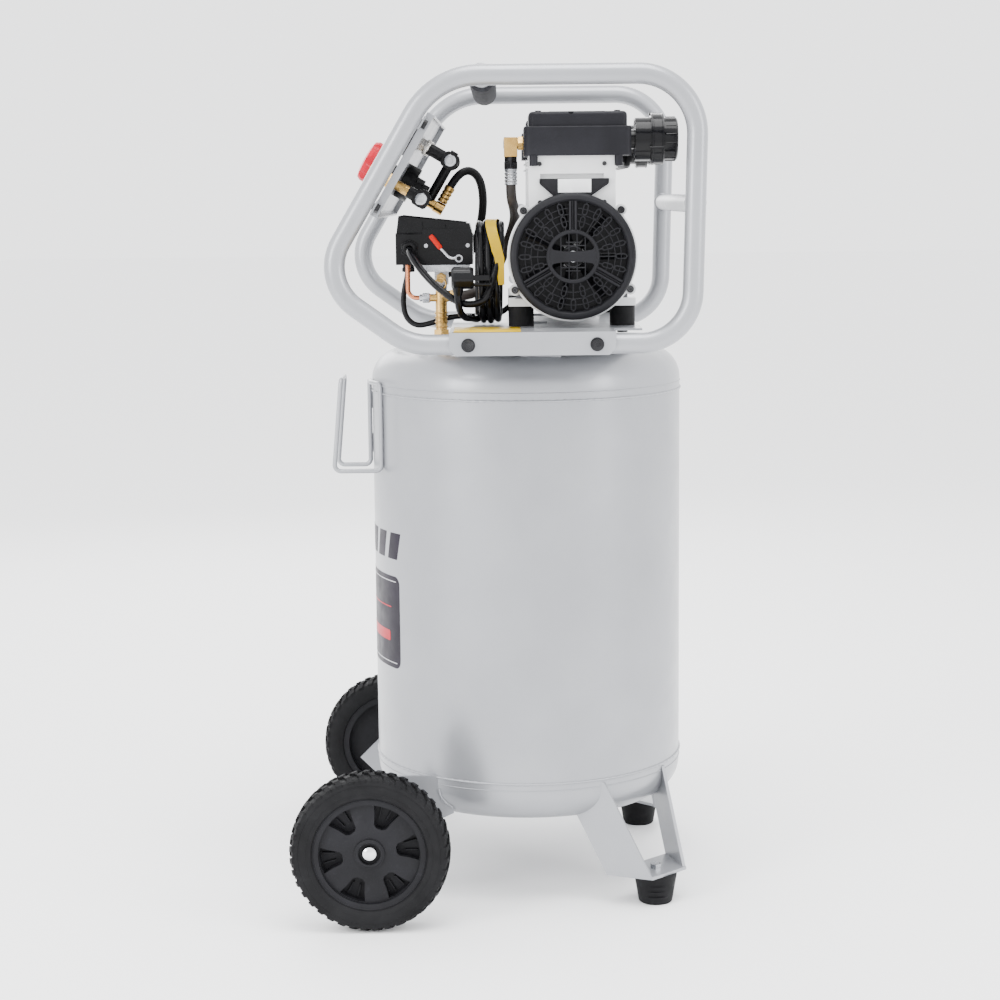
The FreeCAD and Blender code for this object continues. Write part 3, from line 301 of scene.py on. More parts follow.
class Piece:
    """A mesh put together from turned, extruded and swept shapes, and then given a material."""

    def __init__(self):
        self.mesh = bmesh.new()

    def turned(self, profile, centre, axis, segments=64, closed=False):
        """Revolve (radius, height) points about axis through centre. A closed profile is a ring."""
        turn = Vector(UP).rotation_difference(Vector(axis)).to_matrix()
        centre = Vector(centre)
        rings = []
        for radius, height in profile:
            if radius < 1e-7:
                rings.append([self.mesh.verts.new(centre + turn @ Vector((0, 0, height)))])
                continue
            ring = []
            for index in range(segments):
                angle = 2 * math.pi * index / segments
                spot = Vector((radius * math.cos(angle), radius * math.sin(angle), height))
                ring.append(self.mesh.verts.new(centre + turn @ spot))
            rings.append(ring)
        pairs = list(zip(rings, rings[1:]))
        if closed:
            pairs.append((rings[-1], rings[0]))
        for low, high in pairs:
            for index in range(segments):
                after = (index + 1) % segments
                if len(low) == 1 and len(high) == 1:
                    continue
                if len(low) == 1:
                    self.mesh.faces.new((low[0], high[after], high[index]))
                elif len(high) == 1:
                    self.mesh.faces.new((low[index], low[after], high[0]))
                else:
                    self.mesh.faces.new((low[index], low[after], high[after], high[index]))
        return self

    def prism(self, points, thickness):
        """Extrude a flat outline of points by the vector thickness."""
        low = [self.mesh.verts.new(Vector(point)) for point in points]
        high = [self.mesh.verts.new(Vector(point) + Vector(thickness)) for point in points]
        self.mesh.faces.new(list(reversed(low)))
        self.mesh.faces.new(high)
        for index in range(len(low)):
            after = (index + 1) % len(low)
            self.mesh.faces.new((low[index], low[after], high[after], high[index]))
        return self

    def block(self, low, high):
        """Add a block between two corners."""
        (x0, y0, z0), (x1, y1, z1) = low, high
        outline = [(x0, y0, z0), (x1, y0, z0), (x1, y1, z0), (x0, y1, z0)]
        return self.prism(outline, (0, 0, z1 - z0))

    def tube(self, points, radius, segments=12, closed=False, squash=1.0):
        """Sweep a circle along points, keeping its roll steady."""
        points = [Vector(point) for point in points]
        count = len(points)
        rings = []
        side = None
        for index, point in enumerate(points):
            before = points[index - 1] if index or closed else point
            after = points[(index + 1) % count] if index < count - 1 or closed else point
            heading = (after - before).normalized()
            if side is None:
                side = heading.orthogonal().normalized()
            side = (side - heading * side.dot(heading)).normalized()
            other = heading.cross(side)
            size = radius(index / max(1, count - 1)) if callable(radius) else radius
            ring = []
            for step in range(segments):
                angle = 2 * math.pi * step / segments
                spot = point + side * size * math.cos(angle) + other * size * squash * math.sin(angle)
                ring.append(self.mesh.verts.new(spot))
            rings.append(ring)
        for index in range(count if closed else count - 1):
            low, high = rings[index], rings[(index + 1) % count]
            for step in range(segments):
                after = (step + 1) % segments
                self.mesh.faces.new((low[step], low[after], high[after], high[step]))
        if not closed:
            self.mesh.faces.new(list(reversed(rings[0])))
            self.mesh.faces.new(rings[-1])
        return self

    def nut(self, centre, axis, across_flats, height):
        """Add a hexagonal prism that stands on centre."""
        return self.prism(hexagon(centre, axis, across_flats), Vector(axis) * height)

    def moved(self, matrix):
        """Transform everything made so far."""
        bmesh.ops.transform(self.mesh, matrix=matrix, verts=self.mesh.verts)
        return self

    def done(self, name, material, body="root", stands_for=(), slot=None, bevel=0.0, smooth=35):
        """Make the object, round its edges, ride it on its body and hide the CAD nodes that it stands for."""
        bmesh.ops.recalc_face_normals(self.mesh, faces=self.mesh.faces)
        data = bpy.data.meshes.new(name)
        self.mesh.to_mesh(data)
        self.mesh.free()
        data.materials.append(material)
        thing = placed(name, data)
        if bevel:
            edge = thing.modifiers.new("edges", "BEVEL")
            edge.width = bevel
            edge.segments = 2
            edge.limit_method = "ANGLE"
            edge.angle_limit = math.radians(35)
            edge.harden_normals = False
        if smooth:
            data.set_sharp_from_angle(angle=math.radians(smooth))
        for polygon in data.polygons:
            polygon.use_smooth = True
        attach(thing, body)
        if stands_for:
            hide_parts(*stands_for)
        return thing


def ring_points(centre, radius, axis="z", count=96, start=0.0, end=360.0):
    """Return points round a circle about an axis, or along an arc of it."""
    points = []
    whole = end - start >= 360
    for index in range(count):
        angle = math.radians(start + (end - start) * index / (count if whole else count - 1))
        a, b = radius * math.cos(angle), radius * math.sin(angle)
        offset = {"x": (0, a, b), "y": (a, 0, b), "z": (a, b, 0)}[axis]
        points.append(Vector(centre) + Vector(offset))
    return points


def hexagon(centre, axis, across_flats):
    """Return the corners of a hexagon about an axis."""
    turn = Vector(UP).rotation_difference(Vector(axis)).to_matrix()
    corner = across_flats / math.sqrt(3)
    points = []
    for index in range(6):
        angle = math.radians(60 * index + 30)
        points.append(Vector(centre) + turn @ Vector((corner * math.cos(angle), corner * math.sin(angle), 0)))
    return points


def paint_node(name, material):
    """Give a carried-over CAD node its material."""
    NODES[name].data.materials.clear()
    NODES[name].data.materials.append(material)


# Cords

def spline_object(name, points, radius, material):
    """Return a round NURBS curve with the given control points."""
    data = bpy.data.curves.new(name, "CURVE")
    data.dimensions = "3D"
    data.bevel_depth = radius
    data.bevel_resolution = 5
    data.resolution_u = 8
    data.use_fill_caps = True
    spline = data.splines.new("NURBS")
    spline.points.add(len(points) - 1)
    for control, point in zip(spline.points, points):
        control.co = (*point, 1)
    spline.order_u = 3
    spline.use_endpoint_u = True
    data.materials.append(material)
    return placed(name, data)


def route(points):
    """Turn a route given in metres about the tank's axis into points of the frame."""
    return [Vector((TANK_X + x, y, z)) for x, y, z in points]


def centre_line(thing):
    """Return the points of a curve's own centre line."""
    bare = thing.data.copy()
    bare.bevel_depth = 0
    probe = placed("probe", bare)
    mesh = bpy.data.meshes.new_from_object(probe)
    points = [vertex.co.copy() for vertex in mesh.vertices]
    bpy.data.objects.remove(probe)
    bpy.data.curves.remove(bare)
    bpy.data.meshes.remove(mesh)
    return points


def line_length(points):
    """Return the length along points."""
    return sum((after - before).length for before, after in zip(points, points[1:]))


LEAD = [
    (-0.150, -0.080, 0.847), (-0.150, -0.098, 0.846), (-0.147, -0.114, 0.840), (-0.138, -0.129, 0.827),
    (-0.124, -0.142, 0.8105), (-0.108, -0.151, 0.796), (-0.0916, -0.157, 0.7845), (-0.0833, -0.1595, 0.7802),
    (-0.071, -0.1617, 0.778), (-0.0587, -0.1622, 0.7802), (-0.0479, -0.162, 0.7864),
    (-0.0398, -0.1595, 0.796),
]
TAIL = [
    (-0.066, -0.1326, 0.7598), (-0.0712, -0.1439, 0.7602), (-0.0773, -0.1545, 0.761),
    (-0.0829, -0.165, 0.7675), (-0.086, -0.171, 0.779), (-0.086, -0.171, 0.790),
]
DISCHARGE = [
    (-0.085, -0.072, 0.785), (-0.073, -0.070, 0.786), (-0.057, -0.061, 0.794), (-0.042, -0.056, 0.811),
    (-0.030, -0.055, 0.833), (-0.021, -0.061, 0.858), (-0.013, -0.079, 0.882), (-0.014, -0.103, 0.898),
    (-0.018, -0.119, 0.911), (-0.018, -0.120, 0.927),
]
REGULATOR = [
    (-0.098, 0.000, 0.926), (-0.089, 0.001, 0.941), (-0.073, 0.003, 0.949), (-0.059, 0.006, 0.938),
    (-0.054, 0.010, 0.912), (-0.057, 0.014, 0.881), (-0.066, 0.017, 0.850), (-0.082, 0.015, 0.824),
    (-0.102, 0.006, 0.811), (-0.110, -0.007, 0.809), (-0.110, -0.019, 0.809),
]
MOTOR_CABLE = [
    (-0.153, -0.050, 0.826), (-0.154, -0.050, 0.812), (-0.159, -0.049, 0.794), (-0.161, -0.048, 0.774),
    (-0.157, -0.050, 0.755), (-0.143, -0.052, 0.745), (-0.124, -0.053, 0.749), (-0.096, -0.055, 0.758),
    (-0.065, -0.054, 0.758), (-0.038, -0.052, 0.757), (-0.016, -0.050, 0.7737),
    (0.00185, -0.050, 0.78945),
]
CORD_R = 0.0045
COIL_TURNS = 3.6875
COIL_START = 0.0625     # of a turn, up from the middle of the front side
POINTS_PER_TURN = 16


def coil_points():
    """Return the hank's turns, side by side, from the lead's end to the tail's start."""
    low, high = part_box("power_cord_coil")
    y = (low[1] + high[1]) / 2
    half = (high[1] - low[1]) / 2 - CORD_R - 0.0008
    straight = (high[2] - low[2]) / 2 - CORD_R - 0.0008 - half
    middle = (low[2] + high[2]) / 2
    width = high[0] - low[0] - 2 * CORD_R
    points = []
    for index in range(round(COIL_TURNS * POINTS_PER_TURN) + 1):
        turn = COIL_START + index / POINTS_PER_TURN
        angle = math.radians(180) - 2 * math.pi * turn
        loosen = 1.0 - 0.05 * (0.5 + 0.5 * math.sin(2.1 * turn + 0.4))
        reach = half / math.cos(math.pi / POINTS_PER_TURN) * loosen
        lift = straight * max(-1.0, min(1.0, 1.6 * math.sin(angle)))
        across = min(1.0, max(0.0, (index / (COIL_TURNS * POINTS_PER_TURN) - 0.06) / 0.88))
        x = high[0] - CORD_R - width * across
        points.append(Vector((x, y + reach * math.cos(angle), middle + lift + reach * math.sin(angle))))
    return points


def make_cords():
    """The mains lead with its hank and plug, the two hoses and the motor cable."""
    tail = route(TAIL)
    coil = coil_points()
    lead = route(LEAD)
    points = lead[:-1] + coil + tail[1:]
    cord = spline_object("power_cord", points, CORD_R, CORD_BLACK)
    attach(cord, "root")
    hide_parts("power_cord_lead", "power_cord_coil")
    paint_node("power_plug", GLOSS_BLACK)
    round(line_length(centre_line(cord)), 3)

    cables = (
        ("discharge_hose", DISCHARGE, 0.0065, "stiff", HOSE_BRAID),
        ("regulator_hose", REGULATOR, 0.0055, "stiff", HOSE_BLACK),
        ("motor_cable", MOTOR_CABLE, 0.00375, "medium", CORD_BLACK),
    )
    for name, points, radius, stiffness, material in cables:
        curve = spline_object(name + "_curve", route(points), radius, material)
        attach(curve, "root")
        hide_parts(name)
        round(line_length(centre_line(curve)), 3)


# Tank: welds and decals

def ripple(size, waves):
    """Return a bead's radius along its length, with the ripples of a weld pool."""
    return lambda part: size * (1 + 0.18 * math.sin(waves * part) + 0.08 * math.sin(3.7 * waves * part))


def weld(name, points, size, slot="tank_shell", closed=False):
    """Lay a weld bead along points."""
    length = line_length(points)
    bead = Piece().tube(points, ripple(size, length / (1.1 * size)), 8, closed)
    return bead.done(name, SILVER, slot=slot, smooth=60)


def dense(points, step=0.0012):
    """Return points at even small steps along straight runs."""
    result = []
    for start, end in zip(points, points[1:]):
        start, end = Vector(start), Vector(end)
        count = max(2, round((end - start).length / step))
        result.extend(start.lerp(end, index / count) for index in range(count))
    result.append(Vector(points[-1]))
    return result


def struck(node, start, direction):
    """Return the point where a line from start first meets a CAD node."""
    hit, place = NODES[node].ray_cast(Vector(start), Vector(direction))[:2]
    return place if hit else None


def make_tank_welds():
    """Girth welds, the long seam, and beads where saddle, hook, ports and brackets meet the tank."""
    for name, z, size in (("upper_weld", TANK_HIGH[2], 0.0015),
                          ("upper_joggle", TANK_HIGH[2] + 0.010, 0.0007),
                          ("lower_weld", TANK_LOW[2], 0.0016), ("lower_joggle", TANK_LOW[2] - 0.009, 0.0007)):
        weld(name, ring_points((TANK_X, 0, z), TANK_R + 0.0001, count=720), size, closed=True)
    seam = [(TANK_X + TANK_R * math.cos(0.2), TANK_R * math.sin(0.2), z)
            for z in (TANK_LOW[2] + 0.004, TANK_HIGH[2] - 0.004)]
    weld("long_seam", dense(seam), 0.0013)
    low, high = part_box("deck_saddle")
    for side, y in (("near", low[1] - 0.001), ("far", high[1] + 0.001)):
        line = []
        for index in range(40):
            x = low[0] + (high[0] - low[0]) * index / 39
            place = struck("tank_top_head", (x, y, 0.75), (0, 0, -1))
            if place:
                line.append(place)
        weld("saddle_weld_" + side, line, 0.0028, slot="deck_saddle")
    low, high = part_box("hose_hook")
    for name, y in (("near", low[1] + 0.003), ("far", high[1] - 0.003)):
        wall = TANK_X - math.sqrt(TANK_R ** 2 - y ** 2)
        for end, z0, z1 in (("low", 0.575, 0.600), ("high", 0.634, 0.656)):
            line = dense([(wall - 0.001, y + 0.002, z0), (wall - 0.001, y + 0.002, z1)])
            weld("hook_weld_%s_%s" % (name, end), line, 0.0022, slot="hose_hook")
    for name, x, y, reach in (("pipe_port", -110, -40, 12.4), ("check_port", -110, -72, 14.4)):
        line = []
        for spot in ring_points(at(x, y, 760), reach * MM, count=60):
            place = struck("tank_top_head", spot, (0, 0, -1))
            if place:
                line.append(place)
        weld(name + "_weld", line, 0.0017, slot="tank_top_head", closed=True)
    for side in (-1, 1):
        for face, y in (("out", 168.0), ("in", 162.0)):
            line = []
            for index in range(46):
                x = TANK_X - (0.101 + 0.024 * index / 45)
                place = struck("tank_bottom_head", (x, side * y * MM, 0.02), UP)
                if place and place.z < 0.168:
                    line.append(place)
            if len(line) > 3:
                name = "bracket_weld_%s_%s" % ("near" if side < 0 else "far", face)
                weld(name, line, 0.0022, slot="axle_brackets")


def make_bar_welds():
    """Beads round the ends of the crossbars, where they meet the cages."""
    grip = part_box("handle_grip")
    bar_x, bar_z = (grip[0][0] + grip[1][0]) / 2, (grip[0][2] + grip[1][2]) / 2
    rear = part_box("cage_crossbars")[1][0] - 0.0115
    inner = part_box("cage_near")[1][1]
    for name, x, z, radius in (("handle", bar_x, bar_z, 0.0129), ("rear", rear, 0.902, 0.0117)):
        for side, label in ((1, "near"), (-1, "far")):
            points = []
            for spot in ring_points((x, 0, z), radius, "y", 72):
                lean = abs(spot.z - z) / radius if name == "handle" else abs(spot.x - x) / radius
                spot.y = side * (inner - 0.0006) - side * 0.0062 * lean ** 2
                points.append(spot)
            weld("%s_weld_%s" % (name, label), points, 0.0016, slot="cage_crossbars", closed=True)


def decal(name, material, angle, half_width, z0, z1, corner, lift, slant=0.0):
    """Wrap a thin rounded film round the tank. angle is in degrees from the front, towards -Y."""
    piece = Piece()
    film = piece.mesh
    rows, columns = 24, 28
    outer, inner = [], []
    for row in range(rows + 1):
        part = 0.5 - 0.5 * math.cos(math.pi * row / rows)
        z = z0 + (z1 - z0) * part
        edge = min(z - z0, z1 - z)
        bite = corner - math.sqrt(max(0.0, corner ** 2 - (corner - edge) ** 2)) if edge < corner else 0.0
        for level, radius in ((outer, TANK_R + lift), (inner, TANK_R - 0.0001)):
            line = []
            for column in range(columns + 1):
                across = (2 * column / columns - 1) * (half_width - bite) + slant * (part - 0.5)
                turn = math.radians(angle) + across / TANK_R
                line.append(film.verts.new((TANK_X - radius * math.cos(turn), -radius * math.sin(turn), z)))
            level.append(line)
    for level in (outer, inner):
        for low, high in zip(level, level[1:]):
            for column in range(columns):
                film.faces.new((low[column], low[column + 1], high[column + 1], high[column]))
    for row in range(rows):
        for column in (0, columns):
            film.faces.new((outer[row][column], outer[row + 1][column],
                            inner[row + 1][column], inner[row][column]))
    for row in (0, rows):
        for column in range(columns):
            film.faces.new((outer[row][column], outer[row][column + 1],
                            inner[row][column + 1], inner[row][column]))
    return piece.done(name, material, slot="tank_shell", smooth=40)


def make_decals():
    """The dark rounded panel on the tank's front, with plain bars, and a row of stripes above it."""
    decal("front_panel_film", FILM_DARK, 0, 0.126, 0.298, 0.421, 0.011, 0.0003)
    decal("front_panel_line_top", FILM_PALE, 0, 0.118, 0.4135, 0.4147, 0.0004, 0.00045)
    decal("front_panel_line_low", FILM_PALE, 0, 0.118, 0.3043, 0.3055, 0.0004, 0.00045)
    decal("front_panel_bar", FILM_RED, 0, 0.100, 0.333, 0.347, 0.003, 0.00045)
    decal("front_panel_rule", FILM_RED, 0, 0.104, 0.3785, 0.3800, 0.0004, 0.00045)
    for index in range(7):
        decal("stripe_%d" % index, FILM_DARK, -31.5 + 10.5 * index, 0.0125, 0.444, 0.479, 0.001, 0.0003,
              0.009)


# Wheels

def wheel_matrix(side):
    """Return the matrix from a wheel's own frame, z outwards, to its place."""
    low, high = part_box("wheel_%s_tyre" % ("near" if side < 0 else "far"))
    centre = (Vector(low) + Vector(high)) / 2
    turn = Vector(UP).rotation_difference(Vector((0, side, 0))).to_matrix().to_4x4()
    return Matrix.Translation(centre) @ turn


def polar(angle, radius, height):
    """Return a point of the wheel's frame from degrees and millimetres."""
    turn = math.radians(angle)
    return Vector((radius * math.cos(turn), radius * math.sin(turn), height)) * MM


def lug(piece, corners, top, foot=95.0):
    """Add a tread block over (angle, across) corners, with its top at radius top(across)."""
    low = [piece.mesh.verts.new(polar(angle, foot if abs(w) < 21 else 90.0, w)) for angle, w in corners]
    high = []
    for angle, w in corners:
        middle = sum(corner[0] for corner in corners) / len(corners)
        high.append(piece.mesh.verts.new(polar(middle + (angle - middle) * 0.9, top(w), w)))
    piece.mesh.faces.new(high)
    piece.mesh.faces.new(list(reversed(low)))
    for index in range(len(low)):
        after = (index + 1) % len(low)
        piece.mesh.faces.new((low[index], low[after], high[after], high[index]))


def make_tyres():
    """Ribbed rubber tyres with interlocking tread blocks and shoulder lugs."""
    half = [(72.1, 20), (73.5, 22), (77, 23.3), (82, 23.9), (88, 23.7), (93, 22.6), (95.8, 20.6), (97.3, 17),
            (98, 11), (98.3, 4)]
    profile = scaled(half) + scaled((r, -w) for r, w in reversed(half))
    count = 40
    step = 360 / count

    def crown(w):
        return 101.5 - 0.0048 * w * w - (0.35 * (abs(w) - 17) if abs(w) > 17 else 0)

    for name, side in SIDES:
        tyre = Piece().turned(profile, (0, 0, 0), UP, 160, closed=True)
        for index in range(count):
            a = index * step
            for flank in (-1, 1):
                shift = a + (step / 2 if flank > 0 else 0)
                lug(tyre, [(shift - 3.2, flank * 22.6), (shift + 1.3, flank * 22.6),
                           (shift + 2.6, flank * 13.5), (shift - 1.9, flank * 13.5)], crown)
                lug(tyre, [(shift - 1.2, flank * 12.0), (shift + 3.0, flank * 12.0),
                           (shift + 5.2, flank * 2.2), (shift + 0.4, flank * 3.6)], crown)
            lug(tyre, [(a - 1.0, -1.4), (a + 3.6, 0.2), (a + 3.0, 1.6), (a - 1.6, 0.0)], crown)
        for radius in (79.5, 89.5):
            ring = ring_points((0, 0, 23.4 * MM), radius * MM, "z", 120)
            tyre.tube(ring, 0.0005, 6, closed=True)
        tyre.moved(wheel_matrix(side))
        tyre.done("tyre_" + name, TYRE_BLACK, name + "_wheel", ["wheel_%s_tyre" % name], smooth=28)


def make_hub_details():
    """A raised rim lip and ribs in the pockets of each hub."""
    for name, side in SIDES:
        trim = Piece()
        trim.turned(scaled(((69.6, 20), (70.6, 21.1), (71.6, 20.0), (70.6, 19.6))),
                    (0, 0, 0), UP, 120, closed=True)
        trim.turned(scaled(((14.0, 16.8), (15.2, 17.7), (16.8, 17.7), (18.2, 16.6), (17.0, 16.0))),
                    (0, 0, 0), UP, 64, closed=True)
        for index in range(6):
            turn = math.radians(8 + 60 * index)
            along = Vector((math.cos(turn), math.sin(turn), 0))
            across = Vector((-math.sin(turn), math.cos(turn), 0))
            for offset in (-4.5, 4.5):
                start = (along * 44 + across * offset) * MM
                end = (along * 60 + across * offset * 1.5) * MM
                trim.prism([start + across * -0.0009, start + across * 0.0009, end + across * 0.0009,
                            end + across * -0.0009], (0, 0, 5 * MM))
        trim.moved(wheel_matrix(side))
        trim.done("hub_trim_" + name, HUB_BLACK, name + "_wheel", slot="wheel_%s_hub" % name, bevel=0.0003)


# Pump

def shaft_ring(radius, y, count=64, start=0.0, end=360.0):
    """Return points of a ring about the pump's shaft at depth y."""
    return ring_points((PUMP_X, y, PUMP_Z), radius, "y", count, start, end)


def grille_spot(angle, radius, y):
    """Return a point of the fan's face, from degrees and millimetres about the shaft."""
    turn = math.radians(angle)
    return Vector((PUMP_X + radius * MM * math.cos(turn), y, PUMP_Z + radius * MM * math.sin(turn)))


def capsule(angle, r0, r1, half, y):
    """Return the outline of an elongated radial slot."""
    turn = math.radians(angle)
    along = Vector((math.cos(turn), 0, math.sin(turn)))
    across = Vector((-math.sin(turn), 0, math.cos(turn)))
    centre = Vector((PUMP_X, y, PUMP_Z))
    points = []
    for middle, first in ((r1, -90), (r0, 90)):
        for index in range(7):
            swing = math.radians(first + 30 * index)
            reach = middle + half * math.cos(swing)
            points.append(centre + (along * reach + across * half * math.sin(swing)) * MM)
    return points


def make_fan_covers():
    """Fan covers: a rim, a hub with its bridge, three double spokes and a web of radial slots."""
    for name, side in SIDES:
        face = side * 0.2135
        cover = Piece()
        centre = (PUMP_X, 0, PUMP_Z)
        rim = [(67.8, 190), (78, 190), (78, 209), (77.4, 211.6), (75.6, 213.6), (73.4, 214.6), (70.6, 214.4),
               (68.8, 212.8), (67.8, 210.5)]
        cover.turned(scaled(rim), centre, (0, side, 0), 144, closed=True)
        hub = [(28.2, 210.5), (33.2, 210.5), (33.2, 213.6), (32.2, 214.7), (29.4, 214.7), (28.2, 213.6)]
        cover.turned(scaled(hub), centre, (0, side, 0), 96, closed=True)
        bridge = [(-28.5, 13.5), (-24, 8.5), (-12, 6.6), (0, 6.2), (12, 6.6), (24, 8.5), (28.5, 13.5)]
        outline = bridge + [(u, -w) for u, w in reversed(bridge)]
        cover.prism([Vector((PUMP_X + u * MM, side * 0.2105, PUMP_Z + w * MM)) for u, w in outline],
                    (0, side * 0.0036, 0))
        for lift in (-1, 1):
            for width, height in ((9, 17.5), (15, 13.5)):
                z = PUMP_Z + lift * height * MM
                cover.tube([(PUMP_X - width * MM, face, z), (PUMP_X + width * MM, face, z)], 0.0008, 6)
            for u in (-15, -5, 5, 15):
                top = math.sqrt(28.5 ** 2 - u ** 2)
                cover.tube([(PUMP_X + u * MM, face, PUMP_Z + lift * 6 * MM),
                            (PUMP_X + u * MM, face, PUMP_Z + lift * top * MM)], 0.0008, 6)
            cover.tube(shaft_ring(0.0125, face, 16, 90 - 42 if lift > 0 else 270 - 42,
                                  90 + 42 if lift > 0 else 270 + 42), 0.0008, 6)
        for angle in (90, 210, 330):
            for offset in (-3.4, 3.4):
                turn = math.radians(angle)
                shift = Vector((-math.sin(turn), 0, math.cos(turn))) * offset * MM
                bar = [grille_spot(angle, 32.5, face) + shift, grille_spot(angle, 68.2, face) + shift]
                cover.tube(bar, 0.0016, 8)
            cover.tube([grille_spot(angle, 32.5, face - side * 0.001),
                        grille_spot(angle, 68.2, face - side * 0.001)], 0.0008, 6)
        for index in range(24):
            angle = 15 * index
            if angle in (90, 210, 330):
                continue
            cover.tube(capsule(angle, 55.5, 63.5, 2.7, face), 0.00085, 6, closed=True)
            if index % 2:
                cover.tube(capsule(angle, 40.0, 47.5, 2.7, face), 0.00085, 6, closed=True)
                web = ((33.0, 37.4), (50.2, 52.8))
            else:
                web = ((33.0, 52.8),)
            for r0, r1 in web + ((66.2, 68.2),):
                cover.tube([grille_spot(angle, r0, face), grille_spot(angle, r1, face)], 0.0007, 6)
        for radius in (43.8, 52.0, 59.5):
            for start in (96, 216, 336):
                arc = shaft_ring(radius * MM, face - side * 0.0006, 40, start, start + 108)
                cover.tube(arc, 0.0006, 6)
        cover.done("fan_cover_" + name, COVER_BLACK, stands_for=["fan_covers"], smooth=30)

        back = Piece()
        back.turned([(0.016, 0.189), (0.0695, 0.189), (0.0695, 0.191), (0.016, 0.191)], centre,
                    (0, side, 0), 96,
                    closed=True)
        back.done("fan_back_plate_" + name, FAN_BLACK, slot="fan_covers", smooth=30)

        duct = Piece()
        y = side * 0.1884
        corners = [(-39.5, 934), (-39.5, 928), (-22, 913), (-22, 905), (22, 905), (22, 913), (44.5, 928),
                   (44.5, 934)]
        outline = [Vector((PUMP_X + u * MM, y, z * MM)) for u, z in corners]
        duct.prism(outline, (0, side * 0.0032, 0))
        for first, second in ((0, 1), (1, 2), (5, 6), (6, 7)):
            duct.tube([outline[first] + Vector((0, side * 0.0036, 0)),
                       outline[second] + Vector((0, side * 0.0036, 0))], 0.0012, 8)
        duct.done("fan_duct_" + name, COVER_BLACK, slot="fan_covers", bevel=0.0006)
        sticker = Piece()
        low = Vector((PUMP_X - 17.5 * MM, side * 0.1916, 0.917))
        sticker.block(low, low + Vector((0.041, side * 0.0002, 0.0165)))
        sticker.done("duct_sticker_" + name, FILM_WHITE, slot="fan_covers")


def screw(piece, place, axis, radius, height, socket=0.5):
    """Add a cap screw with a hexagonal socket to a piece."""
    ring = [(radius, 0), (radius, height * 0.85), (radius * 0.93, height), (radius * socket, height),
            (radius * socket * 0.9, height * 0.35), (0, height * 0.3)]
    piece.turned([(0, 0)] + ring, place, axis, 24)


def make_pump_details():
    """Screws, ribs, tie bars and gaskets on the castings, heads, lids and filters."""
    for name, side in SIDES:
        bolts = Piece()
        for angle in (43, 137, 210, 330):
            place = grille_spot(angle, 83, side * CASE_FACE)
            screw(bolts, place, (0, side, 0), 0.0046, 0.004)
        for x in (-40, 40):
            for z in (0.905, 0.952):
                screw(bolts, (PUMP_X + x * MM, side * CASE_FACE, z), (0, side, 0), 0.0028, 0.0022)
        bolts.done("case_screws_" + name, BLACK_STEEL, slot="deck_bolts", smooth=30)

        ribs = Piece()
        x0, x1 = PUMP_X - 0.054, PUMP_X + 0.054
        y0, y1 = sorted((side * 0.106, side * 0.187))
        for z in (0.9465, 0.9545):
            for edge, outward in ((x0, -1), (x1, 1)):
                ribs.block((min(edge, edge + outward * 0.0026), y0, z),
                           (max(edge, edge + outward * 0.0026), y1, z + 0.0022))
        ribs.turned(scaled(((80.0, 184.0), (81.2, 185.0), (81.2, 187.6), (80.0, 188.2), (78.6, 188.2),
                            (78.6, 184.0))),
                    (PUMP_X, 0, PUMP_Z), (0, side, 0), 120, closed=True)
        ribs.done("case_ribs_" + name, WHITE_CAST, slot="crankcases", bevel=0.0004)

        head_low, head_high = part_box("cylinder_heads")
        lid_low, lid_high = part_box("head_lids")
        trims = Piece()
        y_low, y_high = sorted((side * 0.095, side * 0.195))
        trims.block((head_low[0] + 0.012, y_low + 0.010, head_low[2] - 0.0016),
                    (head_high[0] - 0.022, y_high - 0.0075, head_low[2] + 0.0004))
        for x in (lid_low[0] + 0.012, lid_high[0] - 0.012):
            for y in (side * 0.112, side * 0.178):
                screw(trims, (x, y, lid_high[2] - 0.0002), UP, 0.004, 0.0016)
        for index in range(4):
            y = side * (0.125 + 0.013 * index)
            trims.block((lid_low[0] + 0.026, y - 0.0011, lid_high[2] - 0.0008),
                        (lid_high[0] - 0.026, y + 0.0011, lid_high[2] + 0.0010))
        trims.done("head_trim_" + name, CHARCOAL, slot="head_lids", bevel=0.0005)
        lugs = Piece()
        for x in (head_low[0] + 0.004, head_high[0] - 0.024):
            lugs.turned([(0, 0), (0.0052, 0), (0.0052, 0.012), (0.0040, 0.0128), (0, 0.0128)],
                        (x + 0.008, side * 0.1925, head_low[2] - 0.0125), UP, 24)
        lugs.done("head_lugs_" + name, CHARCOAL, slot="cylinder_heads", bevel=0.0003)

        low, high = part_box("air_filters")
        bands = Piece()
        x_band = low[0] + 0.0265
        for shift in (0.0, 0.0125):
            bands.turned([(0.0314, 0), (0.0322, 0.0006), (0.0322, 0.0020), (0.0314, 0.0026),
                          (0.0305, 0.0013)],
                         (x_band + shift, side * FILTER_Y, FILTER_Z), (1, 0, 0), 72, closed=True)
        for angle in range(0, 360, 24):
            turn = math.radians(angle)
            out = Vector((0, math.cos(turn), math.sin(turn)))
            start = Vector((low[0] + 0.044, side * FILTER_Y, FILTER_Z)) + out * 0.0270
            bands.tube([start, start + Vector((0.0125, 0, 0))], 0.0008, 6)
        for angle in (80, 200, 320):
            turn = math.radians(angle)
            out = Vector((0, math.cos(turn), math.sin(turn)))
            start = Vector((low[0] + 0.024, side * FILTER_Y, FILTER_Z)) + out * 0.0312
            bands.tube([start, start + Vector((0.0175, 0, 0))], 0.0024, 10, squash=0.5)
        bands.turned([(0.021, 0), (0.0225, 0.0004), (0.0225, 0.0016), (0.021, 0.0016)],
                     (high[0] - 0.0012, side * FILTER_Y, FILTER_Z), (1, 0, 0), 64, closed=True)
        bands.done("filter_bands_" + name, GLOSS_BLACK, slot="air_filters", smooth=40)


# Control panel

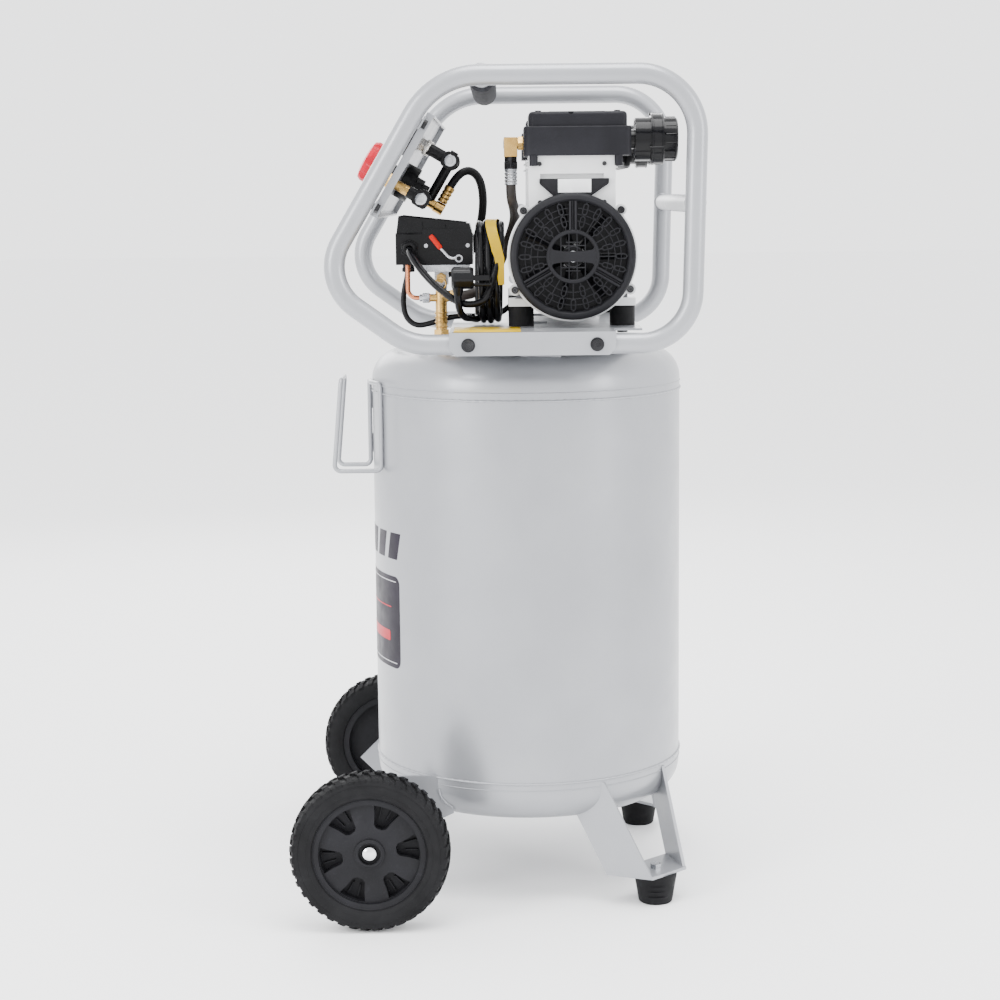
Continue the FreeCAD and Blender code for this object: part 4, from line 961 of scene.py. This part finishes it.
PANEL = Matrix((
    (0.50754, 0, -0.86163, TANK_X - 0.157), (0, 1, 0, 0), (0.86163, 0, 0.50754, 0.975), (0, 0, 0, 1),
))
DIALS = (("tank", 0.034), ("outlet", -0.034))
GAUGE_U, KNOB_U, COUPLER_U = 0.017, -0.036, -0.044
PANEL_FACE_N = -0.0131


def dial_spot(y, angle, radius, n):
    """Return a point of a gauge's dial; zero is at the top and angles run clockwise."""
    turn = math.radians(angle)
    return Vector((GAUGE_U + radius * math.cos(turn), y - radius * math.sin(turn), n))


def dial_numbers(name, y):
    """Raise the dial's numbers, 0 to 200, as flat ink."""
    facing = Matrix(((0, 1, 0, 0), (-1, 0, 0, 0), (0, 0, 1, 0), (0, 0, 0, 1)))
    for index in range(5):
        letters = bpy.data.curves.new("number", "FONT")
        letters.body = str(50 * index)
        letters.size = 0.0048
        letters.align_x = "CENTER"
        letters.align_y = "CENTER"
        letters.extrude = 0.00004
        probe = placed("number", letters)
        mesh = bpy.data.meshes.new_from_object(probe)
        bpy.data.objects.remove(probe)
        spot = dial_spot(y, -135 + 67.5 * index, 0.0135, 0.00022)
        mesh.transform(PANEL @ Matrix.Translation(spot) @ facing)
        mesh.materials.clear()
        mesh.materials.append(INK_BLACK)
        thing = placed("%s_dial_number_%d" % (name, index), mesh)
        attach(thing, "root")


def make_gauge_details():
    """Dials with their scales, bright bezels, and the knurled stems behind the panel."""
    for name, y in DIALS:
        face = Piece()
        face.turned([(0, 0.00002), (0.0224, 0.00002), (0.0224, 0.00014), (0, 0.00014)],
                    (GAUGE_U, y, 0), UP, 72)
        face.moved(PANEL).done(name + "_dial", DIAL_WHITE, slot="gauge_cases")
        marks = Piece()
        for index in range(41):
            angle = -135 + 270 * index / 40
            inner, half = (0.0168, 0.00032) if index % 5 == 0 else (0.0186, 0.00016)
            turn = math.radians(angle)
            across = Vector((math.sin(turn), math.cos(turn), 0)) * half
            start, end = dial_spot(y, angle, inner, 0.00014), dial_spot(y, angle, 0.0208, 0.00014)
            marks.prism([start - across, end - across, end + across, start + across], (0, 0, 0.00008))
        marks.moved(PANEL).done(name + "_dial_marks", INK_BLACK, slot="gauge_cases", smooth=0)
        dial_numbers(name, y)
        bezel = Piece()
        bezel.turned([(0.0226, 0.0036), (0.0232, 0.00455), (0.0244, 0.00455), (0.0254, 0.0036),
                      (0.0254, -0.0005),
                      (0.0249, -0.0005), (0.0249, 0.0030), (0.0240, 0.0040), (0.0226, 0.0040)],
                     (GAUGE_U, y, 0), UP, 96, closed=True)
        bezel.moved(PANEL).done(name + "_bezel", NICKEL, slot="gauge_cases", smooth=40)
        stem = Piece()
        stem.turned([(0.0067, -0.0279), (0.0098, -0.0279), (0.0102, -0.0272), (0.0102, -0.0222),
                     (0.0098, -0.0215), (0.0067, -0.0215)], (GAUGE_U, y, 0), UP, 48)
        stem.nut((GAUGE_U, y, -0.0212), UP, 0.0165, 0.0068)
        for index in range(30):
            turn = 2 * math.pi * index / 30
            out = Vector((math.cos(turn), math.sin(turn), 0))
            spot = Vector((GAUGE_U, y, 0)) + out * 0.0101
            stem.tube([spot + Vector((0, 0, -0.0270)), spot + Vector((0, 0, -0.0224))], 0.0005, 5)
        stem.moved(PANEL).done(name + "_stem", NICKEL, slot="gauge_cases", smooth=30)


def make_fittings():
    """Brass elbows, dark nuts, bright crimps, the pipe between the heads and the manifold's plugs."""
    x, y, top = TANK_X - 0.018, -0.120, 0.979
    elbow = Piece()
    elbow.block((x - 0.0085, y - 0.0085, 0.9622), (x + 0.0085, y + 0.0085, 0.9868))
    elbow.tube([(x + 0.008, y, top), (x + 0.0162, y, top)], 0.0070, 24)
    elbow.turned([(0, 0.0086), (0.0065, 0.0086), (0.0060, 0.0092), (0, 0.0092)], (x - 0.0001, y, top),
                 (-1, 0, 0), 32)
    elbow.nut((x + 0.0090, y, top), (1, 0, 0), 0.0168, 0.0068)
    elbow.done("outlet_elbow", BRASS, stands_for=["hose_fittings"], bevel=0.0011)
    nut = Piece()
    nut.nut((x, y, 0.94705), UP, 0.0168, 0.0095)
    nut.turned([(0, 0.9565), (0.0079, 0.9565), (0.0079, 0.9625), (0, 0.9625)], (x, y, 0), UP, 36)
    nut.done("outlet_nut", BLACK_STEEL, slot="hose_fittings", bevel=0.0007)
    crimp = Piece()
    profile = [(0.0068, 0.92705), (0.0080, 0.9274)]
    for index in range(4):
        low = 0.9290 + 0.0044 * index
        profile += [(0.0081, low), (0.0074, low + 0.0008), (0.0074, low + 0.0020), (0.0081, low + 0.0028)]
    profile += [(0.0080, 0.94705), (0.0060, 0.94705)]
    crimp.turned(profile, (x, y, 0), UP, 48)
    crimp.done("outlet_crimp", ZINC, slot="hose_fittings", smooth=30)

    stub = Piece()
    stub.turned([(0.0052, -0.0612), (0.0065, -0.0612), (0.0065, -0.0700), (0.0078, -0.0700),
                 (0.0078, -0.0830),
                 (0, -0.0830)], (COUPLER_U, 0, 0), UP, 36)
    profile = [(0.0056, 0.008), (0.0069, 0.009)]
    for index in range(3):
        low = 0.012 + 0.0055 * index
        profile += [(0.0069, low), (0.0060, low + 0.001), (0.0060, low + 0.0022), (0.0069, low + 0.0032)]
    profile += [(0.0069, 0.0315), (0.0050, 0.0318)]
    stub.turned(profile, (COUPLER_U, 0, -0.076), (1, 0, 0), 40)
    stub.moved(PANEL).done("regulator_ferrule", BRASS, slot="hose_fittings", bevel=0.0004, smooth=30)
    short = Piece()
    short.turned([(0, 0.0189), (0.0064, 0.0189), (0.0064, 0.0245), (0.0060, 0.0250), (0.0060, 0.0270),
                  (0.0064, 0.0275),
                  (0.0064, 0.03095), (0, 0.03095)], (TANK_X - 0.110, 0, 0.809), (0, -1, 0), 36)
    short.done("cross_ferrule", BRASS, slot="hose_fittings", smooth=30)

    joining = Piece()
    px = TANK_X + 0.130
    joining.tube([(px, -0.112, 0.9619), (px, -0.112, 0.957), (px, -0.1103, 0.9528), (px, -0.106, 0.951),
                  (px, 0.106, 0.951), (px, 0.1103, 0.9528), (px, 0.112, 0.957), (px, 0.112, 0.9619)],
                 0.0044, 20)
    for side in (-1, 1):
        joining.nut((px, side * 0.112, 0.9545), UP, 0.0115, 0.0074)
    joining.done("head_pipe", BLACK_IRON, slot="hose_fittings", smooth=30)

    plugs = Piece()
    bosses = Piece()
    for u, y, n in ((GAUGE_U, -0.050, -0.060), (COUPLER_U, -0.092, -0.053)):
        plugs.turned([(0.0078, 0.0002), (0.0078, 0.0028), (0.0070, 0.0038), (0.0052, 0.0042),
                      (0.0040, 0.0042),
                      (0.0038, 0.0014), (0, 0.0014)], (u, y - 0.0001, n), (0, -1, 0), 40)
        bosses.block((u + 0.0070, y + 0.0012, n - 0.0052), (u + 0.0132, y + 0.0060, n + 0.0052))
        bosses.prism([(u + a, y + 0.0062, n + b) for a, b in
                      ((-0.0075, -0.0105), (0.0075, -0.0105), (0.0105, -0.0075), (0.0105, 0.0075),
                       (0.0075, 0.0105), (-0.0075, 0.0105), (-0.0105, 0.0075), (-0.0105, -0.0075))],
                     (0, -0.0052, 0))
    plugs.moved(PANEL).done("manifold_plugs", ZINC, slot="hose_fittings", smooth=30)
    bosses.moved(PANEL).done("manifold_bosses", BLACK_IRON, slot="manifold", bevel=0.0006)


def make_panel_bolts():
    """Bolts through the panel's ears, the marks on the knob's face and the nut behind it."""
    bolts = Piece()
    for side in (-1, 1):
        for u in (0.039, -0.077):
            screw(bolts, (u, side * 0.2475, PANEL_FACE_N), UP, 0.0045, 0.0035)
            bolts.nut((u, side * 0.2475, -0.0156), (0, 0, -1), 0.010, 0.0045)
    bolts.moved(PANEL).done("panel_bolts", BLACK_STEEL, slot="control_panel", bevel=0.0003)
    knob = Piece()
    for index in range(8):
        turn = math.radians(45 * index + 22.5)
        spot = Vector((KNOB_U + 0.0215 * math.cos(turn), 0.0215 * math.sin(turn), 0.0390))
        knob.tube([spot - Vector((0, 0, 0.0008)), spot + Vector((0, 0, 0.0002))], 0.0010, 8)
    knob.turned([(0, 0.0398), (0.0090, 0.0398), (0.0090, 0.0402), (0.0078, 0.0402), (0.0074, 0.0400),
                 (0, 0.0400)],
                (KNOB_U, 0, 0), UP, 48)
    knob.moved(PANEL).done("knob_face", RED_PLASTIC, body="knob", slot="regulator_knob", smooth=30)
    ring = Piece()
    ring.turned([(0.0134, -0.0126), (0.0220, -0.0126), (0.0220, -0.0104), (0.0212, -0.0096),
                 (0.0134, -0.0096)],
                (KNOB_U, 0, 0), UP, 64, closed=True)
    ring.moved(PANEL).done("regulator_nut", BLACK_IRON, slot="regulator_body", smooth=30)


# Pressure switch and pipework

def make_lever():
    """The switch's lever: a bent bright rod with an eye at its pivot and a red grip."""
    x, y = TANK_X, -0.086
    lever = Piece()
    lever.tube([(x - 0.0905, y, 0.8342), (x - 0.096, y, 0.8344), (x - 0.0995, y, 0.8362),
                (x - 0.112, y, 0.850)], 0.0018, 16)
    lever.turned([(0.00306, -0.003), (0.0050, -0.003), (0.0050, 0.003), (0.00306, 0.003)],
                 (x - 0.086, y, 0.834), (0, 1, 0), 36, closed=True)
    lever.done("lever_rod", ZINC, body="lever", stands_for=["switch_lever"], smooth=40)
    grip = Piece()
    start, end = Vector((x - 0.1090, y, 0.8467)), Vector((x - 0.1225, y, 0.8640))
    count = 16
    points = [start.lerp(end, index / count) for index in range(count + 1)]
    grip.tube(points,
              lambda part: 0.0036 - 0.0012 * max(0, part - 0.9) / 0.1 - 0.0010 * max(0, 0.1 - part) / 0.1,
              20, squash=0.75)
    grip.done("lever_grip", RED_GRIP, body="lever", slot="switch_lever", smooth=50)


def make_switch_details():
    """Lid screws, raised lines, cable glands and the plate under the switch."""
    low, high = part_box("switch_cover")
    x0, x1, y0, y1 = low[0], high[0], low[1] + 0.002, high[1]
    trims = Piece()
    trims.tube([(x0 - 0.0006, y0 - 0.0003, 0.8662), (x1 + 0.0002, y0 - 0.0003, 0.8662)], 0.0009, 8)
    for x in (x0 + 0.034, x0 + 0.064):
        trims.tube([(x, y0 - 0.0002, 0.8675), (x, y0 - 0.0002, 0.8825 - 0.1 * (x - x0) + 0.002)], 0.0006, 6)
    for y in (y0 + 0.004, y1 - 0.004):
        trims.tube([(x0 + 0.006, y, 0.8891), (x1 - 0.007, y, 0.8795)], 0.0009, 8)
    trims.done("switch_trim", SWITCH_BLACK, slot="switch_cover", smooth=40)
    screws = Piece()
    screw(screws, (x0 + 0.05, (y0 + y1) / 2, 0.8838), UP, 0.0036, 0.0016)
    for spot in ((TANK_X - 0.1285, 0.8505), (TANK_X - 0.0745, 0.8505)):
        screw(screws, (spot[0], -0.0801, spot[1]), (0, -1, 0), 0.0026, 0.0012)
    screws.done("switch_screws", ZINC, slot="switch_cover")
    glands = Piece()
    glands.nut((TANK_X - 0.150, -0.0782, 0.847), (0, -1, 0), 0.0215, 0.0055)
    glands.turned([(0.0052, 0.0840), (0.0092, 0.0840), (0.0096, 0.0850), (0.0096, 0.0890), (0.0078, 0.0920),
                   (0.0052, 0.0920)],
                  (TANK_X - 0.150, 0, 0.847), (0, -1, 0), 40)
    glands.nut((TANK_X - 0.153, -0.050, 0.8165), UP, 0.0165, 0.0050)
    glands.done("switch_glands", SWITCH_BLACK, slot="switch_base", bevel=0.0006)
    plate = Piece()
    plate.prism([(TANK_X + x, -0.0775, z) for x, z in
                 ((-0.135, 0.8257), (-0.071, 0.8257), (-0.0745, 0.8205), (-0.092, 0.8165), (-0.128, 0.8165))],
                (0, 0.066, 0))
    for x, y in ((-0.100, -0.070), (-0.080, -0.070), (-0.100, -0.018), (-0.080, -0.018)):
        screw(plate, (TANK_X + x, y, 0.8200), (0, 0, -1), 0.0030, 0.0028)
    plate.done("diaphragm_plate", ZINC, slot="switch_base", bevel=0.0008)


def make_pipe_details():
    """Threads and nuts on the pipework, and the fins of the check valve."""
    x, y = TANK_X - 0.110, -0.040
    threads = Piece()
    for z0, count in ((0.792, 6), (0.7285, 4)):
        for index in range(count):
            z = z0 + 0.0012 * index
            threads.turned([(0.0068, z), (0.0073, z + 0.0003), (0.0073, z + 0.0006), (0.0068, z + 0.0009)],
                           (x, y, 0), UP, 32, closed=True)
    threads.nut((x, y, 0.8205), UP, 0.0185, 0.0052)
    threads.done("pipe_threads", ZINC, slot="switch_pipe", smooth=30)
    nut = Piece()
    nut.nut((TANK_X - 0.1342, -0.072, 0.783), (1, 0, 0), 0.0128, 0.0094)
    nut.turned([(0, 0), (0.0046, 0), (0.0046, 0.004), (0, 0.004)], (TANK_X - 0.1382, -0.072, 0.783),
               (1, 0, 0), 24)
    nut.done("unloader_nut", ZINC, slot="unloader_tube", bevel=0.0006)
    cx, cy = TANK_X - 0.110, -0.072
    valve = Piece()
    for z in (0.744, 0.750, 0.756, 0.762):
        valve.turned([(0.0072, z), (0.0088, z + 0.0006), (0.0088, z + 0.0022), (0.0072, z + 0.0028)],
                     (cx, cy, 0), UP, 40, closed=True)
    valve.nut((cx, cy, 0.7900), UP, 0.0140, 0.0035)
    valve.nut((cx + 0.0008, cy, 0.785), (1, 0, 0), 0.0148, 0.0085)
    valve.done("check_valve_trim", BRASS, slot="check_valve", bevel=0.0005, smooth=30)


def make_deck_strip():
    """The plain yellow strip along the deck's near edge, with its dark border."""
    z = DECK_TOP + 0.00005
    strip = Piece()
    strip.block((TANK_X - 0.090, -0.276, z), (TANK_X - 0.008, -0.170, z + 0.00025))
    strip.done("deck_strip", YELLOW_TAG, slot="deck", smooth=0)
    edge = Piece()
    for y0, y1 in ((-0.2772, -0.2758), (-0.1702, -0.1688)):
        edge.block((TANK_X - 0.0912, y0, z), (TANK_X - 0.0068, y1, z + 0.0003))
    edge.done("deck_strip_edge", INK_BLACK, slot="deck", smooth=0)


def make_tag():
    """The yellow tag wrapped over the cord's hank."""
    low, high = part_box("power_cord_coil")
    middle_y = (low[1] + high[1]) / 2
    outer = (high[1] - low[1]) / 2 - 0.0003
    top = high[2] - outer - 0.0004
    band = Piece()
    x1 = high[0] - 0.0004
    x0 = x1 - 0.0135
    count = 22
    edge = []
    for index in range(count + 1):
        angle = math.radians(28 + 152 * index / count)
        slip = -0.010 * math.sin(math.radians(152 * index / count)) ** 2
        edge.append((slip, middle_y + outer * math.cos(angle), top + outer * math.sin(angle)))
    for step in range(1, 6):
        edge.append((0.0012 * step, middle_y - outer, top - 0.0085 * step))
    for near, far in zip(edge, edge[1:]):
        corners = [(x0 + near[0], near[1], near[2]), (x1 + min(0, near[0]), near[1], near[2]),
                   (x1 + min(0, far[0]), far[1], far[2]), (x0 + far[0], far[1], far[2])]
        inward = Vector((0, middle_y - near[1], top - near[2])) if near[2] > top else Vector((0, 1, 0))
        band.prism(corners, inward.normalized() * 0.0005)
    band.done("cord_tag", YELLOW_TAG, slot="power_cord_coil", smooth=40)


def make_deck_bolt_details():
    """Sockets on the cage bolts, and the plates of the anti-vibration mounts."""
    trims = Piece()
    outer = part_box("deck_bolts")[1][1]
    for x in (-0.072, 0.084):
        for side in (-1, 1):
            place = (TANK_X + x, side * (outer + 0.0001), 0.735)
            trims.turned([(0.0040, 0), (0.0042, 0.0012), (0.0026, 0.0014), (0.0024, 0.0004), (0, 0.0004)],
                         place, (0, side, 0), 24)
    trims.done("cage_bolt_sockets", BLACK_STEEL, slot="deck_bolts", smooth=30)
    cups = Piece()
    low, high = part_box("isolators")
    for x in (low[0] + 0.016, high[0] - 0.016):
        for y in (low[1] + 0.016, high[1] - 0.016):
            for z in (DECK_TOP + 0.0002, DECK_TOP + 0.0225):
                cups.turned([(0.0060, z), (0.0150, z), (0.0150, z + 0.0018), (0.0060, z + 0.0018)],
                            (x, y, 0), UP, 48, closed=True)
    cups.done("isolator_plates", BLACK_STEEL, slot="isolators", smooth=30)


def make_grip():
    """A black collar at each end of the handle's foam."""
    low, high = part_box("handle_grip")
    x, z = (low[0] + high[0]) / 2, (low[2] + high[2]) / 2
    outer = (high[2] - low[2]) / 2
    collars = Piece()
    for side, y in ((1, low[1]), (-1, high[1])):
        collars.turned([(outer - 0.004, 0.0001), (outer - 0.0008, 0.0001), (outer - 0.0001, 0.0012),
                        (outer - 0.0001, 0.0090), (outer - 0.0008, 0.0098), (outer - 0.004, 0.0098)],
                       (x, y, z), (0, side, 0), 72, closed=True)
    collars.done("grip_collars", GLOSS_BLACK, slot="handle_grip", smooth=40)


def make_foot_details():
    """Ribs round the rubber feet."""
    low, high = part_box("rubber_feet")
    ribs = Piece()
    for y in (low[1] + 0.019, high[1] - 0.019):
        x = (low[0] + high[0]) / 2
        for z, radius in ((0.009, 0.0172), (0.0165, 0.0178), (0.024, 0.0184)):
            ribs.turned([(radius - 0.003, z), (radius, z + 0.0004), (radius, z + 0.0022),
                         (radius - 0.003, z + 0.0026)],
                        (x, y, 0), UP, 64, closed=True)
    ribs.done("foot_ribs", FOOT_RUBBER, slot="rubber_feet", smooth=40)


def make_motor_details():
    """The motor's lamination stack, with fine edges, and its four through bolts."""
    stack = Piece()
    outline = [(MOTOR_R - 0.001, -0.0330)]
    for index in range(22):
        y = -0.0330 + 0.003 * index
        outline += [(MOTOR_R + 0.0012, y), (MOTOR_R + 0.0012, y + 0.0021), (MOTOR_R + 0.0005, y + 0.0023),
                    (MOTOR_R + 0.0005, y + 0.0028)]
    outline.append((MOTOR_R - 0.001, 0.0330))
    stack.turned(outline, (PUMP_X, 0, PUMP_Z), (0, 1, 0), 96)
    stack.done("motor_stack", WHITE_CAST, slot="motor_shell", smooth=25)
    bolts = Piece()
    for angle in (60, 120, 245, 295):
        turn = math.radians(angle)
        x = PUMP_X + (MOTOR_R + 0.0042) * math.cos(turn)
        z = PUMP_Z + (MOTOR_R + 0.0042) * math.sin(turn)
        bolts.tube([(x, -0.096, z), (x, 0.096, z)], 0.0024, 12)
        for side in (-1, 1):
            bolts.nut((x, side * 0.089, z), (0, side, 0), 0.0080, 0.0060)
    bolts.done("motor_through_bolts", ZINC, slot="motor_shell", smooth=30)


NODE_MATERIALS = {
    SILVER: ("tank_shell", "tank_top_head", "tank_bottom_head", "axle_brackets", "leg_brackets",
             "cage_near", "cage_far", "cage_crossbars", "deck", "deck_saddle", "control_panel"),
    WIRE_PAINT: ("hose_hook",),
    WHITE_CAST: ("crankcases", "motor_shell"),
    CHARCOAL: ("cylinder_heads", "head_lids"),
    COVER_BLACK: ("fan_covers",),
    FAN_BLACK: ("cooling_fans",),
    GLOSS_BLACK: ("air_filters", "power_plug"),
    SWITCH_BLACK: ("switch_base", "switch_cover"),
    TYRE_BLACK: ("wheel_near_tyre", "wheel_far_tyre"),
    HUB_BLACK: ("wheel_near_hub", "wheel_far_hub"),
    FOOT_RUBBER: ("rubber_feet", "isolators"),
    GRIP_FOAM: ("handle_grip",),
    RED_PLASTIC: ("regulator_knob", "tank_gauge_needle", "outlet_gauge_needle"),
    BLACK_IRON: ("manifold", "regulator_body"),
    BLACK_STEEL: ("deck_bolts", "gauge_cases"),
    BRASS: ("drain_valve", "drain_wing", "couplers", "relief_valve", "check_valve", "relief_ring"),
    NICKEL: ("coupler_sleeve_near", "coupler_sleeve_far"),
    GLASS: ("gauge_lenses",),
    COPPER: ("unloader_tube",),
    ZINC: ("switch_pipe", "foot_bolts", "axle", "stator", "rotor", "running_gear"),
    STEEL: ("axle_caps",),
}


def paint_nodes():
    """Give every carried-over CAD node its material."""
    for material, names in NODE_MATERIALS.items():
        for name in names:
            paint_node(name, material)


make_camera()
make_studio()
paint_nodes()
make_cords()
make_tank_welds()
make_bar_welds()
make_decals()
make_tyres()
make_hub_details()
make_fan_covers()
make_pump_details()
make_motor_details()
make_gauge_details()
make_fittings()
make_panel_bolts()
make_lever()
make_switch_details()
make_pipe_details()
make_deck_strip()
make_tag()
make_deck_bolt_details()
make_grip()
make_foot_details()
